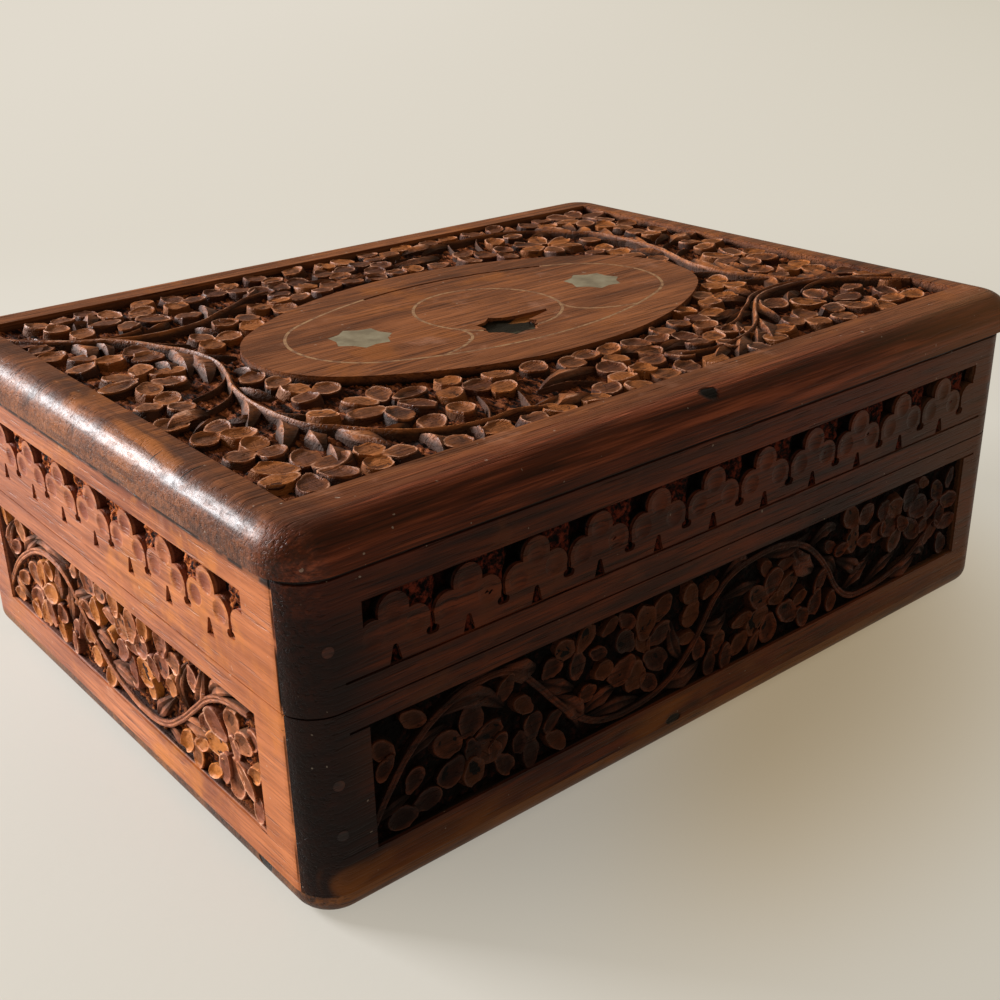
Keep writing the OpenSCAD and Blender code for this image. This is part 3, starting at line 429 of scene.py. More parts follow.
def even_out(piece, depth, full, power=0.5):
    """Lifts what is swept low, such as tips, so that it stays near the face as carved wood does."""
    for vertex in piece.data.vertices:
        share = max(vertex.co.z, 0) / (full * MM)
        vertex.co.z = min(share**power, 1) * depth * MM


def level_off(piece, depth):
    """Cuts the tops down to the face that the carving was worked from, and keeps the feet on the ground."""
    for vertex in piece.data.vertices:
        vertex.co.z = min(max(vertex.co.z, -0.2 * MM), (depth - 0.06) * MM)


def rumple(piece, size, strength, seed):
    """Small hollows and swellings all over, as hand tools and wear leave them."""
    grain = bpy.data.textures.new(piece.name, "CLOUDS")
    grain.noise_scale = size * MM
    grain.noise_depth = 2
    shift = Vector((seed * 0.37, seed * 0.11, seed * 0.23))
    piece.data.transform(Matrix.Translation(shift))
    bpy.context.view_layer.objects.active = piece
    bump = piece.modifiers.new("rumple", "DISPLACE")
    bump.texture = grain
    bump.strength = strength * MM
    bump.mid_level = 0.5
    bpy.ops.object.modifier_apply(modifier=bump.name)
    piece.data.transform(Matrix.Translation(-shift))


def ground_sheet(name, reach, v_range, pitch, height, seed):
    """A hatched ground of chisel cuts, lying flat, its lowest places at height 0."""
    clear_selection()
    length, width = 2 * reach, v_range[1] - v_range[0]
    columns, rows = round(length / pitch), round(width / pitch)
    bpy.ops.mesh.primitive_grid_add(x_subdivisions=columns, y_subdivisions=rows, size=1)
    sheet = bpy.context.object
    sheet.name = name
    sheet.data.transform(Matrix.Diagonal((length * MM, width * MM, 1, 1)))
    sheet.data.transform(Matrix.Translation((0, sum(v_range) / 2 * MM, height / 2 * MM)))
    rumple(sheet, 2.6, height * 1.1, seed)
    cut = Matrix.Rotation(math.radians(35), 4, "Z") @ Matrix.Diagonal((1, 0.3, 1, 1))
    sheet.data.transform(cut.inverted())
    rumple(sheet, 2.4, height * 0.9, seed + 1)
    sheet.data.transform(cut)
    return sheet


def join(pieces, name):
    clear_selection()
    for piece in pieces:
        piece.select_set(True)
    bpy.context.view_layer.objects.active = pieces[0]
    bpy.ops.object.join()
    joined = pieces[0]
    joined.name = name
    joined.data.name = name
    return joined


def set_on_face(piece, face, body, material):
    """Stands a piece that was worked flat on its face of the box."""
    depth = FIELD_DEPTH if face == "top" else BAND_DEPTH if face.endswith("band") else PANEL_DEPTH
    level_off(piece, depth)
    if "down" not in piece.data.attributes:
        note(piece, "down", [0.6 * (1 - vertex.co.z / (depth * MM)) for vertex in piece.data.vertices])
    origin, u, v, out = FACES[face]
    turn = Matrix((u, v, out)).transposed().to_4x4()
    piece.data.transform(Matrix.Translation(Vector(origin) * MM) @ turn)
    clear_selection()
    piece.select_set(True)
    bpy.context.view_layer.objects.active = piece
    bpy.ops.object.shade_smooth_by_angle(angle=math.radians(30))
    piece.data.materials.clear()
    piece.data.materials.append(material)
    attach(piece, body)


class Field:
    """A number that changes over a surface: a shader socket that Python's arithmetic works on."""

    def __init__(self, finish, socket):
        self.finish = finish
        self.socket = socket

    def math(self, operation, *values):
        return self.finish.node("Math", "Value", {"operation": operation}, dict(enumerate(values)))

    def __add__(self, other):
        return self.math("ADD", self, other)

    def __sub__(self, other):
        return self.math("SUBTRACT", self, other)

    def __rsub__(self, other):
        return self.math("SUBTRACT", other, self)

    def __mul__(self, other):
        return self.math("MULTIPLY", self, other)

    __radd__ = __add__
    __rmul__ = __mul__

    def over(self, low, high):
        """0 at low and 1 at high, eased and clamped."""
        sockets = {"Value": self, "From Min": low, "From Max": high}
        return self.finish.node("MapRange", "Result", {"interpolation_type": "SMOOTHSTEP"}, sockets)

    def between(self, low, high):
        """The same for a length in metres, with low and high in millimetres."""
        return self.over(low * MM, high * MM)

    def size(self):
        return self.math("ABSOLUTE", self)

    def root(self):
        return self.math("SQRT", self)


class Finish:
    """One material and its nodes."""

    def __init__(self, name):
        self.material = bpy.data.materials.new(name)
        self.material.use_nodes = True
        self.tree = self.material.node_tree
        self.shader = self.tree.nodes["Principled BSDF"]
        self.place = self.node("TexCoord", "Object")
        self.x = self.node("SeparateXYZ", "X", {}, {"Vector": self.place})
        self.y = Field(self, self.x.socket.node.outputs["Y"])
        self.z = Field(self, self.x.socket.node.outputs["Z"])

    def feed(self, socket, value):
        """Links a Field to the socket, or sets the socket to a number or to a colour written as on screen."""
        if isinstance(value, Field):
            self.tree.links.new(value.socket, socket)
        elif socket.type == "RGBA":
            socket.default_value = (*hue(*value), 1)
        else:
            socket.default_value = value

    def node(self, kind, output, settings=None, sockets=None):
        """Makes a shader node, sets it up, feeds its sockets and returns one output."""
        node = self.tree.nodes.new("ShaderNode" + kind)
        for name, setting in (settings or {}).items():
            if name == "stops":
                ramp = node.color_ramp
                while len(ramp.elements) < len(setting):
                    ramp.elements.new(0.5)
                for stop, (position, colour) in zip(ramp.elements, setting):
                    stop.position = position
                    stop.color = (*hue(*colour), 1)
            else:
                setattr(node, name, setting)
        for name, value in (sockets or {}).items():
            self.feed(node.inputs[name], value)
        return Field(self, node.outputs[output])

    def kept(self, name):
        """A number that the piece keeps for each of its vertices."""
        return self.node("Attribute", "Fac", {"attribute_name": name})

    def noise(self, scale, detail=3, roughness=0.55, distortion=0.0, place=None):
        sockets = {"Scale": scale, "Detail": detail, "Roughness": roughness, "Distortion": distortion}
        return self.node("TexNoise", "Fac", {}, {"Vector": place or self.place, **sockets})

    def stretched(self, x, y, z, turn=(0, 0, 0)):
        sockets = {"Vector": self.place, "Scale": (x, y, z), "Rotation": turn}
        return self.node("Mapping", "Vector", {}, sockets)

    def ramp(self, value, *stops):
        return self.node("ValToRGB", "Color", {"stops": stops}, {"Fac": value})

    def mix(self, share, first, second):
        return self.node("Mix", 2, {"data_type": "RGBA"}, {0: share, 6: first, 7: second})

    def bump(self, height, distance, strength=1.0):
        sockets = {"Height": height, "Distance": distance * MM, "Strength": strength}
        return self.node("Bump", "Normal", {}, sockets)

    def done(self, colour, roughness, normal, **constants):
        self.feed(self.shader.inputs["Base Color"], colour)
        self.feed(self.shader.inputs["Roughness"], roughness)
        self.feed(self.shader.inputs["Normal"], normal)
        for name, value in constants.items():
            self.shader.inputs[name.replace("_", " ")].default_value = value
        return self.material


def hue(red, green, blue):
    """A colour written as on screen, 0 to 255, as the shader takes it."""
    shares = [value / 255 for value in (red, green, blue)]
    return tuple(share / 12.92 if share <= 0.04045 else ((share + 0.055) / 1.055) ** 2.4 for share in shares)


# Each wood's tones: deep, for the painted shade and dirt in the carving and recesses, dark grain, middle,
# light, worn, and its ochre patches.
WOODS = {
    "top": [(20, 9, 5), (70, 35, 17), (116, 65, 36), (144, 85, 49), (196, 142, 116), (146, 82, 32)],
    "top carving": [(18, 8, 4), (80, 38, 18), (136, 76, 38), (166, 98, 52), (206, 152, 124), (160, 90, 34)],
    # The long boards' wood: darker than the ends' partly of its own, partly as painted shade on the front,
    # which the window doesn't reach.
    "dark": [(10, 5, 4), (30, 13, 8), (68, 30, 16), (104, 48, 26), (108, 64, 46), (84, 44, 22)],
    "end": [(26, 10, 5), (122, 62, 38), (174, 102, 66), (206, 127, 84), (228, 168, 134), (212, 127, 50)],
    "base": [(26, 13, 8), (50, 26, 14), (84, 46, 24), (130, 78, 36), (176, 118, 60), (150, 86, 34)],
}


def wood_tones(finish, kind, along, depth):
    """Colour, roughness and relief of a wood whose grain runs along an axis.

    depth is 0 at the face and 1 on the ground."""
    deep, dark, middle, light, worn, ochre = WOODS[kind]

    def grain(share):
        return finish.stretched(*((share, 1, 1) if along == "x" else (1, share, 1)))

    figure = finish.noise(38, 4, 0.6, 0.6, grain(0.12))
    fibre = finish.noise(520, 3, 0.6, 0.2, grain(0.06))
    pores = finish.noise(900, 2, 0.5, 0.0, grain(0.05)).over(0.62, 0.7)
    lines = finish.noise(1500, 2, 0.6, 0.3, grain(0.03)).over(0.48, 0.62)
    cloud = finish.noise(24, 3, 0.6)
    tone = figure * 0.45 + cloud * 0.15 + fibre * 0.4
    colour = finish.ramp(tone, (0.4, dark), (0.5, middle), (0.6, light))
    colour = finish.mix(lines * 0.45, colour, dark)
    colour = finish.mix(pores * 0.65, colour, dark)
    patches = finish.noise(60, 4, 0.7).over(0.56, 0.74)
    colour = finish.mix(patches * 0.2, colour, worn)
    colour = finish.mix(finish.noise(34, 4, 0.7, 0.5).over(0.52, 0.68) * 0.5, colour, ochre)
    # Painted shade and dirt: the deeper the surface lies below its face, the nearer its colour comes to deep.
    colour = finish.mix(depth, colour, deep)
    rough = 0.36 + fibre * 0.2 + depth * 0.3
    relief = fibre * 0.6 - pores * 0.8 - lines * 0.25 + finish.noise(150, 2) * 0.4
    return colour, rough, relief


def spot(finish, middle, reach):
    """1 within a ragged round mark of the given reach along x, y and z, and 0 outside it."""
    ragged = finish.noise(420, 2) * 0.5 + 0.75
    axes = zip((finish.x, finish.y, finish.z), middle, reach)
    parts = [(axis - m * MM) * (1 / (r * MM)) for axis, m, r in axes]
    apart = (parts[0] * parts[0] + parts[1] * parts[1] + parts[2] * parts[2]).root()
    return (apart * ragged).over(1.1, 0.85)


def board_finish(name, kind, along, depth_of, stain=None, specular=0.25, polish=None):
    """A plain board.

    stain takes the finish and the colour, and returns the colour and the relief of this board's own marks."""
    finish = Finish(name)
    # How deep the board is cut away, which wood_tones turns into painted shade and dirt on the cut-away
    # floors.
    depth = depth_of(finish)
    colour, rough, relief = wood_tones(finish, kind, along, depth)
    if stain:
        colour, marks = stain(finish, colour)
        relief = relief + marks
    dust = finish.noise(640, 1, 0.4).over(0.78, 0.8) * (1 - depth)
    colour = finish.mix(dust * 0.3, colour, (206, 190, 172))
    stipple = finish.noise(620, 3, 0.7)
    normal = finish.bump(relief + stipple * depth * 2.5, 0.3, 0.8)
    if polish:
        finish.feed(finish.shader.inputs["Coat Weight"], polish(finish))
    return finish.done(colour, rough, normal, Specular_IOR_Level=specular, Coat_Roughness=0.23)


def sunk(value, face, floor, inside):
    """1 on the carved-out floor of a face, 0 on the face itself and 0 again on the inside of the box."""
    return value.between(face, floor) * value.between(inside - 0.6, inside)


def carved_finish(name, kind, along, painted_wall_shade, specular, rim):
    """The carving: painted shade and dirt down its walls, a tone for each petal, stains, and rims painted
    lighter, partly as wear and partly as a painted highlight.
    """
    finish = Finish(name)
    down, tone = finish.kept("down"), finish.kept("tone")
    _, dark, _, _, worn, ochre = WOODS[kind]
    # Painted shade and dirt: darker the further down its walls a place lies.
    depth = (down + (finish.noise(300, 3) - 0.5) * 0.15).over(0.03, 0.25)
    colour, rough, relief = wood_tones(finish, kind, along, depth * painted_wall_shade)
    colour = finish.mix(tone.over(-0.1, 0.5) * 0.6, colour, ochre)
    colour = finish.mix(tone.over(-0.05, -0.5) * 0.55, colour, dark)
    stains = finish.noise(120, 3, 0.6).over(0.46, 0.66)
    colour = finish.mix(stains * 0.4, colour, dark)
    # Rims painted lighter: partly wear, partly a painted highlight.
    rims = down.over(0.05, 0.005) * finish.noise(130, 3, 0.7).over(0.44, 0.6)
    colour = finish.mix(rims * rim, colour, worn)
    cuts = finish.noise(700, 2, 0.6, 0.0, finish.stretched(1, 0.25, 1, (0, 0, 0.6)))
    normal = finish.bump(relief + finish.noise(420, 3) * 0.9 + cuts, 0.3)
    return finish.done(colour, rough, normal, Specular_IOR_Level=specular)


def ground_finish(name, height_of, light_from, light_to, deep, low, high, stretch=(1, 1, 1), turn=(0, 0, 0)):
    """Rough ground, punched or hatched all over: dark pits, crests between the tones low and high, painted
    shade where it lies low, and darker patches.
    """
    finish = Finish(name)
    cuts = finish.noise(620, 3, 0.65, 0.0, finish.stretched(*stretch, turn))
    colour = finish.ramp(cuts, (0.41, deep), (0.5, low), (0.61, high))
    # Painted shade on the low ground, and darker patches at random.
    painted_shade_and_patches = (1 - height_of(finish).over(light_from, light_to)) * 0.9
    painted_shade_and_patches = painted_shade_and_patches + finish.noise(70, 3, 0.6).over(0.5, 0.68) * 0.5
    colour = finish.mix(painted_shade_and_patches, colour, deep)
    return finish.done(colour, cuts * 0.3 + 0.6, finish.bump(cuts, 0.8), Specular_IOR_Level=0.06)


def metal_finish(name, base, tarnish, roughness, metallic=0.85):
    finish = Finish(name)
    spots = finish.noise(400, 4, 0.65)
    colour = finish.mix(spots.over(0.4, 0.65), base, tarnish)
    normal = finish.bump(finish.noise(1500, 3), 0.05, 0.4)
    return finish.done(colour, spots * 0.3 + roughness, normal, Metallic=metallic)


def stone_finish():
    finish = Finish("grey green stone")
    cloud = finish.noise(160, 4, 0.6)
    colour = finish.ramp(cloud, (0.35, (108, 94, 72)), (0.5, (124, 110, 86)), (0.7, (138, 126, 102)))
    normal = finish.bump(finish.noise(900, 3), 0.08, 0.4)
    return finish.done(colour, cloud * 0.3 + 0.3, normal)


patterns = [petal_pattern(False), petal_pattern(True)]


def turned(runs):
    """The same drawing turned half a turn about the middle of the lid's field."""
    return [[(-u, 2 * FIELD_MIDDLE - v, size) for u, v, size in run] for run in runs]


def carve_top():
    chance = random.Random(7)
    half = []
    for u, v, turn in TOP_TREFOILS:
        half += petals_round(u, v, [turn + 120 * i for i in range(3)], TREFOIL)
    for u, v, turn, count in TOP_BLOSSOMS:
        half += petals_round(u, v, [turn + 360 / count * i for i in range(count)], BLOSSOM)
    for u, v in TOP_SINGLES:
        half += petals_round(u, v, [chance.uniform(0, 360)], SINGLE)
    places = half + [(-u, 2 * FIELD_MIDDLE - v, *sizes, turn + 180) for u, v, *sizes, turn in half]
    petals = join(set_petals(places, patterns, FIELD_DEPTH, TOP_PETAL + 0.06, chance), "top_petals")
    rumple(petals, 2.4, 0.7, 3)
    stem_runs = TOP_STEMS + TOP_STEMS_FRONT + turned(TOP_STEMS + TOP_STEMS_BACK)
    stems = sweep("top_stems", stem_runs, RIDGED_STEM, 5)
    even_out(stems, FIELD_DEPTH * 0.97, 3.1, 0.8)
    rumple(stems, 3, 0.25, 4)
    leaf_runs = wider(TOP_LEAVES + TOP_LEAVES_FRONT + turned(TOP_LEAVES), 1.35)
    leaves = sweep("top_leaves", leaf_runs, KEELED_LEAF, 4)
    even_out(leaves, FIELD_DEPTH, 3.6)
    rumple(leaves, 2.2, 0.35, 5)
    ground = ground_sheet("top_ground", FIELD_REACH, FIELD_RANGE, 0.65, GROUND_HEIGHT, 11)
    return petals, stems, leaves, ground


def carve_panel(drawing, face, seed):
    chance, reach = random.Random(seed), drawing["reach"]
    places = []
    for u, v, angles, *flower in drawing["blossoms"]:
        places += petals_round(u, v, angles, flower)
    for u, v, angles in drawing["trefoils"]:
        places += petals_round(u, v, angles, PANEL_TREFOIL)
    for u, v, angle in drawing["singles"]:
        places += petals_round(u, v, [angle], PANEL_SINGLE)
    places = [(u, min(max(v, 17.6), 42.8), length, width, turn) for u, v, length, width, turn in places]
    stem_runs = wider(drawing["stems"], 0.78)
    leaf_runs = wider(drawing["leaves"], 1.4)
    fill_gaps(places, stem_runs + leaf_runs, (3 - reach, reach - 3, 17, 43), chance, 4000)
    petals = join(set_petals(places, patterns, PANEL_DEPTH, PANEL_PETAL + 0.06, chance), face + "_petals")
    rumple(petals, 2.2, 0.6, seed + 3)
    stems = sweep(face + "_stems", stem_runs, GROOVED_STEM, 5)
    even_out(stems, PANEL_DEPTH, 4.0)
    rumple(stems, 3, 0.25, seed + 1)
    leaves = sweep(face + "_leaves", leaf_runs, GROOVED_LEAF, 4)
    even_out(leaves, PANEL_DEPTH, 4.2)
    rumple(leaves, 2.2, 0.3, seed + 2)
    ground = ground_sheet(face + "_ground", reach, PANEL_RANGE, 0.55, GROUND_HEIGHT, seed + 20)
    return petals, stems, leaves, ground


def carve_band(face, seed, reach, first_club, high_side):
    """The rough ground between the clubs of one of the lid's bands.

    In each gap it is deep beside one club and comes up near the face beside the next one."""
    ground = ground_sheet(face + "_ground", reach, BAND_RANGE, 0.5, BAND_GROUND_HEIGHT, seed)
    for vertex in ground.data.vertices:
        along = ((vertex.co.x / MM - first_club) / CLUB_PITCH) % 1 - 0.5
        raised = min(max(high_side * along * 6 + 1.1, 0), 1)
        vertex.co.z = vertex.co.z * (0.2 + 0.45 * raised) + 1.6 * raised * MM
    return [ground]


def height_on_top(finish):
    """0 on the ground of the lid's field and 1 just under its face, as the next two are on the sides."""
    return finish.z.between(TOP_Z - FIELD_DEPTH, TOP_Z - 0.1)


def height_on_long(finish):
    return finish.y.size().between(HALF_DEPTH - PANEL_DEPTH, HALF_DEPTH - 0.1)


def height_on_end(finish):
    return finish.x.size().between(HALF_LENGTH - PANEL_DEPTH, HALF_LENGTH - 0.1)


top_carving = carved_finish("top carving", "top carving", "x", 0.92, 0.18, 0.6)
long_carving = carved_finish("long carving", "dark", "x", 0.96, 0.1, 0.3)
end_carving = carved_finish("end carving", "end", "y", 0.92, 0.12, 0.65)
# A rough ground's height on its face, where the light reaches it from and to, and its tones, deep to high.
GROUNDS = {
    "top": (height_on_top, -0.3, 0.2, (22, 9, 5), (84, 40, 20), (140, 78, 44), (1, 0.22, 1), (0, 0, 0.6)),
    # The long sides' grounds are near black, partly as painted shade on the shaded front.
    "long": (height_on_long, 0.0, 0.5, (7, 4, 3), (20, 9, 7), (48, 20, 13)),
    "end": (height_on_end, 0.0, 0.4, (30, 10, 5), (126, 60, 28), (192, 112, 60)),
    "long band": (height_on_long, 0.1, 0.6, (7, 3, 2), (54, 20, 13), (104, 42, 28)),
    "end band": (height_on_end, 0.1, 0.6, (18, 5, 3), (128, 58, 24), (196, 112, 58)),
}
grounds = {kind: ground_finish(kind + " ground", *row) for kind, row in GROUNDS.items()}
LONG_SIDE = ("dark_wood", PANEL_LONG, long_carving, grounds["long"], BAND_LONG, grounds["long band"])
END_SIDE = ("end_wood", PANEL_END, end_carving, grounds["end"], BAND_END, grounds["end band"])
SIDES = {"front": LONG_SIDE, "back": LONG_SIDE, "left": END_SIDE, "right": END_SIDE}


def stand(pieces, face, body, carving, ground):
    """Stands the pieces of a carving on their face of the box. The last of them is the rough ground."""
    for piece in pieces:
        set_on_face(piece, face, body, ground if piece is pieces[-1] else carving)


stand(carve_top(), "top", "lid", top_carving, grounds["top"])
for seed, (side, (slot, drawing, carving, ground, _, _)) in enumerate(SIDES.items(), 21):
    stand(carve_panel(drawing, side, seed), side, "box", carving, ground)
for seed, (side, (slot, _, _, _, clubs, ground)) in enumerate(SIDES.items(), 31):
    stand(carve_band(side + "_band", seed, *clubs), side + "_band", "lid", None, ground)
for pattern in patterns:
    bpy.data.objects.remove(pattern)


def no_depth(finish):
    return finish.z * 0


def field_depth(finish):
    """How deep the lid's top is cut away, within its carved field."""
    inside = finish.x.size().between(115.8, 115.4)
    inside = inside * (finish.y - FIELD_MIDDLE * MM).size().between(81.2, 80.9)
    return sunk(finish.z, 94.2, 91.6, 90.3) * inside


def recess_depth(across, along, face, floor, inside, reach):
    """How deep a board's face is cut away, over the length of its panel or band."""
    return sunk(across.size(), face, floor, inside) * along.size().between(reach + 0.5, reach + 0.1)


def lid_polish(finish):
    """Hands have polished the lid's round edge at its ends."""
    streaks = finish.noise(640, 3, 0.7, 0.3, finish.stretched(1, 0.3, 1)).over(0.34, 0.62)
    front = finish.y.between(60, -40) * 0.6 + 0.4
    return finish.x.size().between(115, 120) * front * (streaks * 0.14 + 0.05)


def lid_stain(finish, colour):
    """A front edge painted darker as shade and redder with streaks of its own, end grain in lines along the
    ends, cracks and an empty pocket.
    """
    # Painted shade on the front edge, which faces away from the window; its red streaks are the wood's own
    # colour.
    front = (finish.y * -1).between(80, 93)
    streaks = finish.noise(150, 4, 0.65, 0.4, finish.stretched(0.05, 1, 1))
    fine = finish.noise(1300, 2, 0.6, 0.3, finish.stretched(0.03, 1, 1))
    reds = streaks * 0.6 + fine * 0.4
    reds = finish.ramp(reds, (0.38, (32, 12, 7)), (0.5, (84, 35, 18)), (0.62, (142, 70, 44)))
    colour = finish.mix(front * 0.9, colour, reds)
    colour = finish.mix(front * finish.x.between(30, 122) * 0.5, colour, (138, 92, 54))
    border = (finish.x * -1).between(108, 114) * finish.z.between(90, 93)
    shade = finish.noise(60, 4, 0.65).over(0.42, 0.6) * 0.55 + 0.05
    colour = finish.mix(border * shade, colour, (62, 32, 20))
    blotches = finish.noise(52, 3, 0.6, 0.6, finish.stretched(1, 0.5, 1)).over(0.54, 0.66)
    colour = finish.mix(border * blotches * 0.7, colour, (156, 90, 42))
    ends = finish.x.size().between(116, 120)
    layers = finish.noise(420, 3, 0.6, 0.3, finish.stretched(1, 0.05, 1))
    colour = finish.mix(ends * layers.over(0.54, 0.66) * 0.6, colour, (66, 36, 26))
    cracks = spot(finish, (-121.5, -52, 93), (3.2, 0.28, 3)) + spot(finish, (-123.5, -38, 92), (3, 0.25, 3))
    cracks = cracks + spot(finish, (-122, 22, 92), (3, 0.3, 3))
    hole = spot(finish, (-5.5, -91.5, 92.6), (3.6, 2.4, 2))
    colour = finish.mix(cracks * 0.85 + hole, colour, (14, 7, 5))
    pocket = spot(finish, (-6, -18, 92.9), (9.4, 9.4, 0.9)) * finish.z.between(94.1, 93.6)
    crumbs = finish.noise(260, 3, 0.7).over(0.42, 0.56) * (finish.y * -1).between(20, 24)
    floor = finish.mix(crumbs, (26, 20, 9), (96, 88, 66))
    colour = finish.mix(pocket, colour, floor)
    tail = spot(finish, (6, -14, 92.9), (8, 2.2, 0.9)) * finish.z.between(94.1, 93.6)
    colour = finish.mix(tail * 0.8, colour, (150, 92, 44))
    return colour, ends * layers * 0.5 - (cracks + hole) * 3


def front_stain(finish, colour):
    """Near black at the left corner, paler at the right, redder by the lid, worn to ochre along the foot,
    with a nick and a dark line of painted shadow and dirt under the lid's overhang.
    """
    corner = (finish.x * -1).between(100, 116) * finish.z.between(84, 66)
    colour = finish.mix(corner * 0.85, colour, (26, 14, 12))
    red = finish.noise(60, 3, 0.6, 0.3, finish.stretched(0.1, 1, 1)).over(0.42, 0.66)
    colour = finish.mix(finish.z.between(70, 82) * red * 0.5, colour, (96, 40, 28))
    colour = finish.mix(finish.x.between(50, 122) * 0.45, colour, (118, 76, 48))
    foot = finish.noise(55, 4, 0.7, 0.5, finish.stretched(0.14, 1, 1)).over(0.42, 0.62)
    colour = finish.mix(finish.z.between(15, 11) * foot * 0.85, colour, (132, 76, 30))
    # A nick, and a line of painted shadow and dirt just under the lid's top board.
    nick_and_shadow_line = spot(finish, (-16, -94, 7), (2.6, 2, 1.4)) + finish.z.between(81.9, 82.6) * 0.9
    return finish.mix(nick_and_shadow_line, colour, (16, 9, 6)), nick_and_shadow_line * -3


def end_stain(finish, colour):
    """Cooler at the back and more orange towards the front, with dark lines where the boards meet and a line
    of painted shadow and dirt under the lid's top board.
    """
    back = finish.y.between(-30, 80)
    colour = finish.mix(back * 0.45, colour, (136, 80, 62))
    front = (finish.y * -1).between(40, 90)
    colour = finish.mix(front * 0.45, colour, (188, 106, 50))
    scoops = finish.x.size().between(124.46, 124.3) * finish.z.between(57, 58) * finish.z.between(76, 75)
    scoops = scoops * (finish.noise(90, 2).over(0.4, 0.6) * 0.4 + 0.45)
    colour = finish.mix(scoops, colour, (128, 64, 45))
    patches = finish.noise(50, 4, 0.65).over(0.52, 0.7)
    colour = finish.mix(patches * 0.35, colour, (140, 72, 40))
    beside = (finish.y + 86.5 * MM).size()
    open_part = finish.z.between(68, 65) * finish.z.between(52, 55)
    seam = beside.between(0.9, 0.2) * (finish.noise(90, 3).over(0.45, 0.6) * 0.6 + open_part)
    # Painted shadow and dirt: a dark line just under the overhang of the lid's top board.
    under = finish.z.between(80.1, 81.0) * (finish.noise(120, 3, 0.6).over(0.4, 0.52) * 0.5 + 0.45)
    return finish.mix(seam + under, colour, (20, 9, 6)), seam * -2


def base_stain(finish, colour):
    """Worn to ochre, with a dark chip out of the left edge."""
    worn = finish.noise(48, 4, 0.7, 0.5, finish.stretched(0.2, 0.2, 1)).over(0.44, 0.62)
    colour = finish.mix(worn * 0.7, colour, (140, 84, 34))
    chip = spot(finish, (-124, -72, 5.5), (3, 2.8, 2.6))
    return finish.mix(chip, colour, (26, 12, 8)), chip * -3


def long_recess(finish):
    return recess_depth(finish.y, finish.x, 93.5, 92.8, 90.3, 108.5)


def end_recess(finish):
    return recess_depth(finish.x, finish.y, 124.0, 123.4, 120.8, 74) * 0.95


FINISHES = {
    "top_wood": board_finish("polished top", "top", "x", field_depth, lid_stain, 0.1, lid_polish),
    "dark_long": board_finish("dark long boards", "dark", "x", long_recess, front_stain, 0.12),
    "end": board_finish("end boards", "end", "y", end_recess, end_stain, 0.12),
    "base": board_finish("base board", "base", "x", no_depth, base_stain),
    "pegs": board_finish("pegs", "dark", "x", no_depth),
    "inlay": metal_finish("inlay wire", (162, 120, 82), (118, 76, 48), 0.45, 0.3),
    "stone": stone_finish(),
    "hinge": metal_finish("hinge brass", (168, 130, 70), (110, 80, 46), 0.3),
    "screws": metal_finish("steel screws", (120, 112, 100), (70, 60, 50), 0.35),
}
NODE_FINISH = {
    "top_wood": ["lid_top_board"],
    "dark_long": ["front_board", "back_board", "lid_front_board", "lid_back_board"],
    "end": ["left_end_board", "right_end_board", "lid_left_board", "lid_right_board"],
    "base": ["base_board"],
    "pegs": ["body_pegs", "lid_pegs"],
    "inlay": ["oval_wire", "ring_strip", "left_lobe_strip", "right_lobe_strip"],
    "stone": ["left_rosette", "right_rosette"],
    "screws": ["body_hinge_screws", "lid_hinge_screws"],
}
finish_of = {name: kind for kind, names in NODE_FINISH.items() for name in names}
for name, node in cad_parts.items():
    node.data.materials.clear()
    node.data.materials.append(FINISHES[finish_of.get(name, "hinge")])


def shown(finish):
    """1 for what the camera, a reflection or a clear piece shows, 0 for the light that the floor gives."""
    camera = finish.node("LightPath", "Is Camera Ray")
    rays = camera.socket.node.outputs
    return camera + Field(finish, rays["Is Glossy Ray"]) + Field(finish, rays["Is Transmission Ray"])


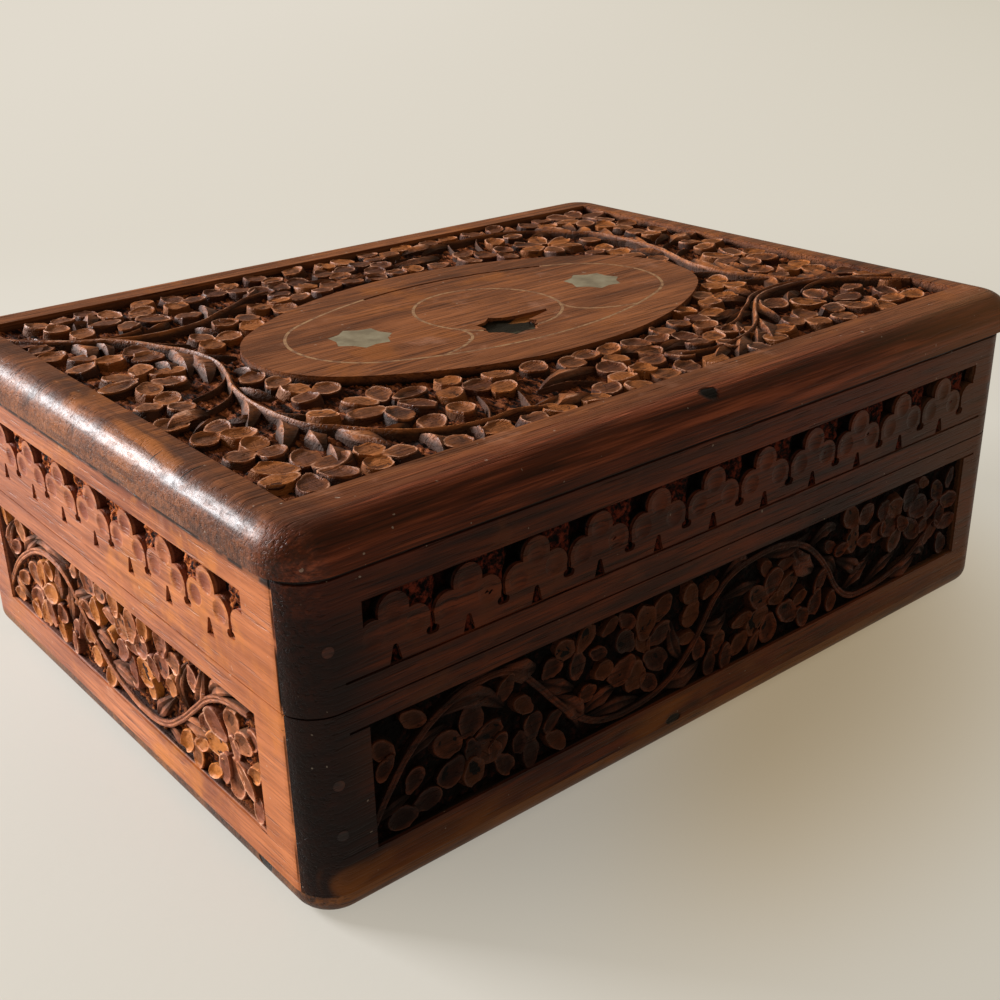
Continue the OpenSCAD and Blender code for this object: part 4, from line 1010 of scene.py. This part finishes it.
def lay_floor():
    """A pale floor that takes the box's shadow and runs out into a pale backdrop, with painted light over the
    shadow and a painted shadow tint beside the box.
    """
    finish = Finish("pale floor")
    colour = finish.ramp(finish.noise(6, 2), (0.3, (200, 195, 190)), (0.7, (208, 203, 198)))
    finish.done(colour, 0.55, finish.bump(finish.noise(240, 3), 0.12, 0.35))
    away = finish.node("VectorMath", "Value", {"operation": "LENGTH"}, {0: finish.place})
    rightwards = finish.x - finish.y
    # The backdrop is painted paler towards the left, the window's side, as painted light.
    backdrop = finish.mix(rightwards.over(-1.2, 2.0), (225, 218, 205), (206, 199, 182))
    # A warm painted shadow tint on the floor beside the box's front right.
    beside = away.over(0.2, 0.1) * rightwards.over(0.03, 0.12)
    backdrop = finish.mix(beside * 0.8, backdrop, (208, 182, 138))
    glow = finish.node("Emission", "Emission", {}, {"Color": backdrop, "Strength": 1.0})
    # The glow's share grows with distance from the box, painting light over its shadow.
    share = (away.over(0.1, 0.2) * 0.35 + away.over(0.25, 0.6) * 0.23 + 0.42) * shown(finish)
    lit = Field(finish, finish.shader.outputs["BSDF"])
    blend = finish.node("MixShader", "Shader", {}, {"Fac": share, 1: lit, 2: glow})
    finish.tree.links.new(blend.socket, finish.tree.nodes["Material Output"].inputs["Surface"])
    clear_selection()
    bpy.ops.mesh.primitive_plane_add(size=12)
    floor = bpy.context.object
    floor.name = "floor"
    floor.data.materials.append(finish.material)


def hang_lamp():
    """A window's light from behind the box, on its left."""
    location, target = Vector((-0.8, 1.27, 0.67)), Vector((0, 0, 0.05))
    lamp = bpy.data.lights.new("window", "AREA")
    lamp.shape = "RECTANGLE"
    lamp.size, lamp.size_y = 0.62, 0.5
    lamp.energy = 60
    lamp.color = (0.94, 0.97, 1)
    holder = link(bpy.data.objects.new("window", lamp))
    holder.visible_camera = False
    holder.location = location
    holder.rotation_mode = "QUATERNION"
    holder.rotation_quaternion = (target - location).to_track_quat("-Z", "Y")


def place_camera():
    """The photograph's camera: where it stood, where it looked and how it was tilted."""
    stood = Vector((-235.3, -294.0, 202.4)) * MM
    turn, rise, roll = 0.68376, -0.42267, -0.02119
    ahead = Vector((math.sin(turn) * math.cos(rise), math.cos(turn) * math.cos(rise), math.sin(rise)))
    right = ahead.cross(Vector((0, 0, 1))).normalized()
    up = right.cross(ahead)
    across = right * math.cos(roll) + up * math.sin(roll)
    down = right * math.sin(roll) - up * math.cos(roll)
    camera = bpy.data.cameras.new("camera")
    camera.sensor_width = 36
    camera.lens = 48.2
    camera.clip_start = 0.01
    holder = link(bpy.data.objects.new("camera", camera))
    pose = Matrix((across, -down, -ahead)).transposed().to_4x4()
    holder.matrix_world = Matrix.Translation(stood) @ pose
    bpy.context.scene.camera = holder


def set_world():
    world = bpy.data.worlds.new("studio")
    world.use_nodes = True
    bpy.context.scene.world = world
    back = world.node_tree.nodes["Background"]
    back.inputs["Color"].default_value = (*hue(240, 228, 202), 1)
    back.inputs["Strength"].default_value = 0.36


lay_floor()
set_world()
hang_lamp()
place_camera()
bpy.context.scene.view_settings.view_transform = "Standard"
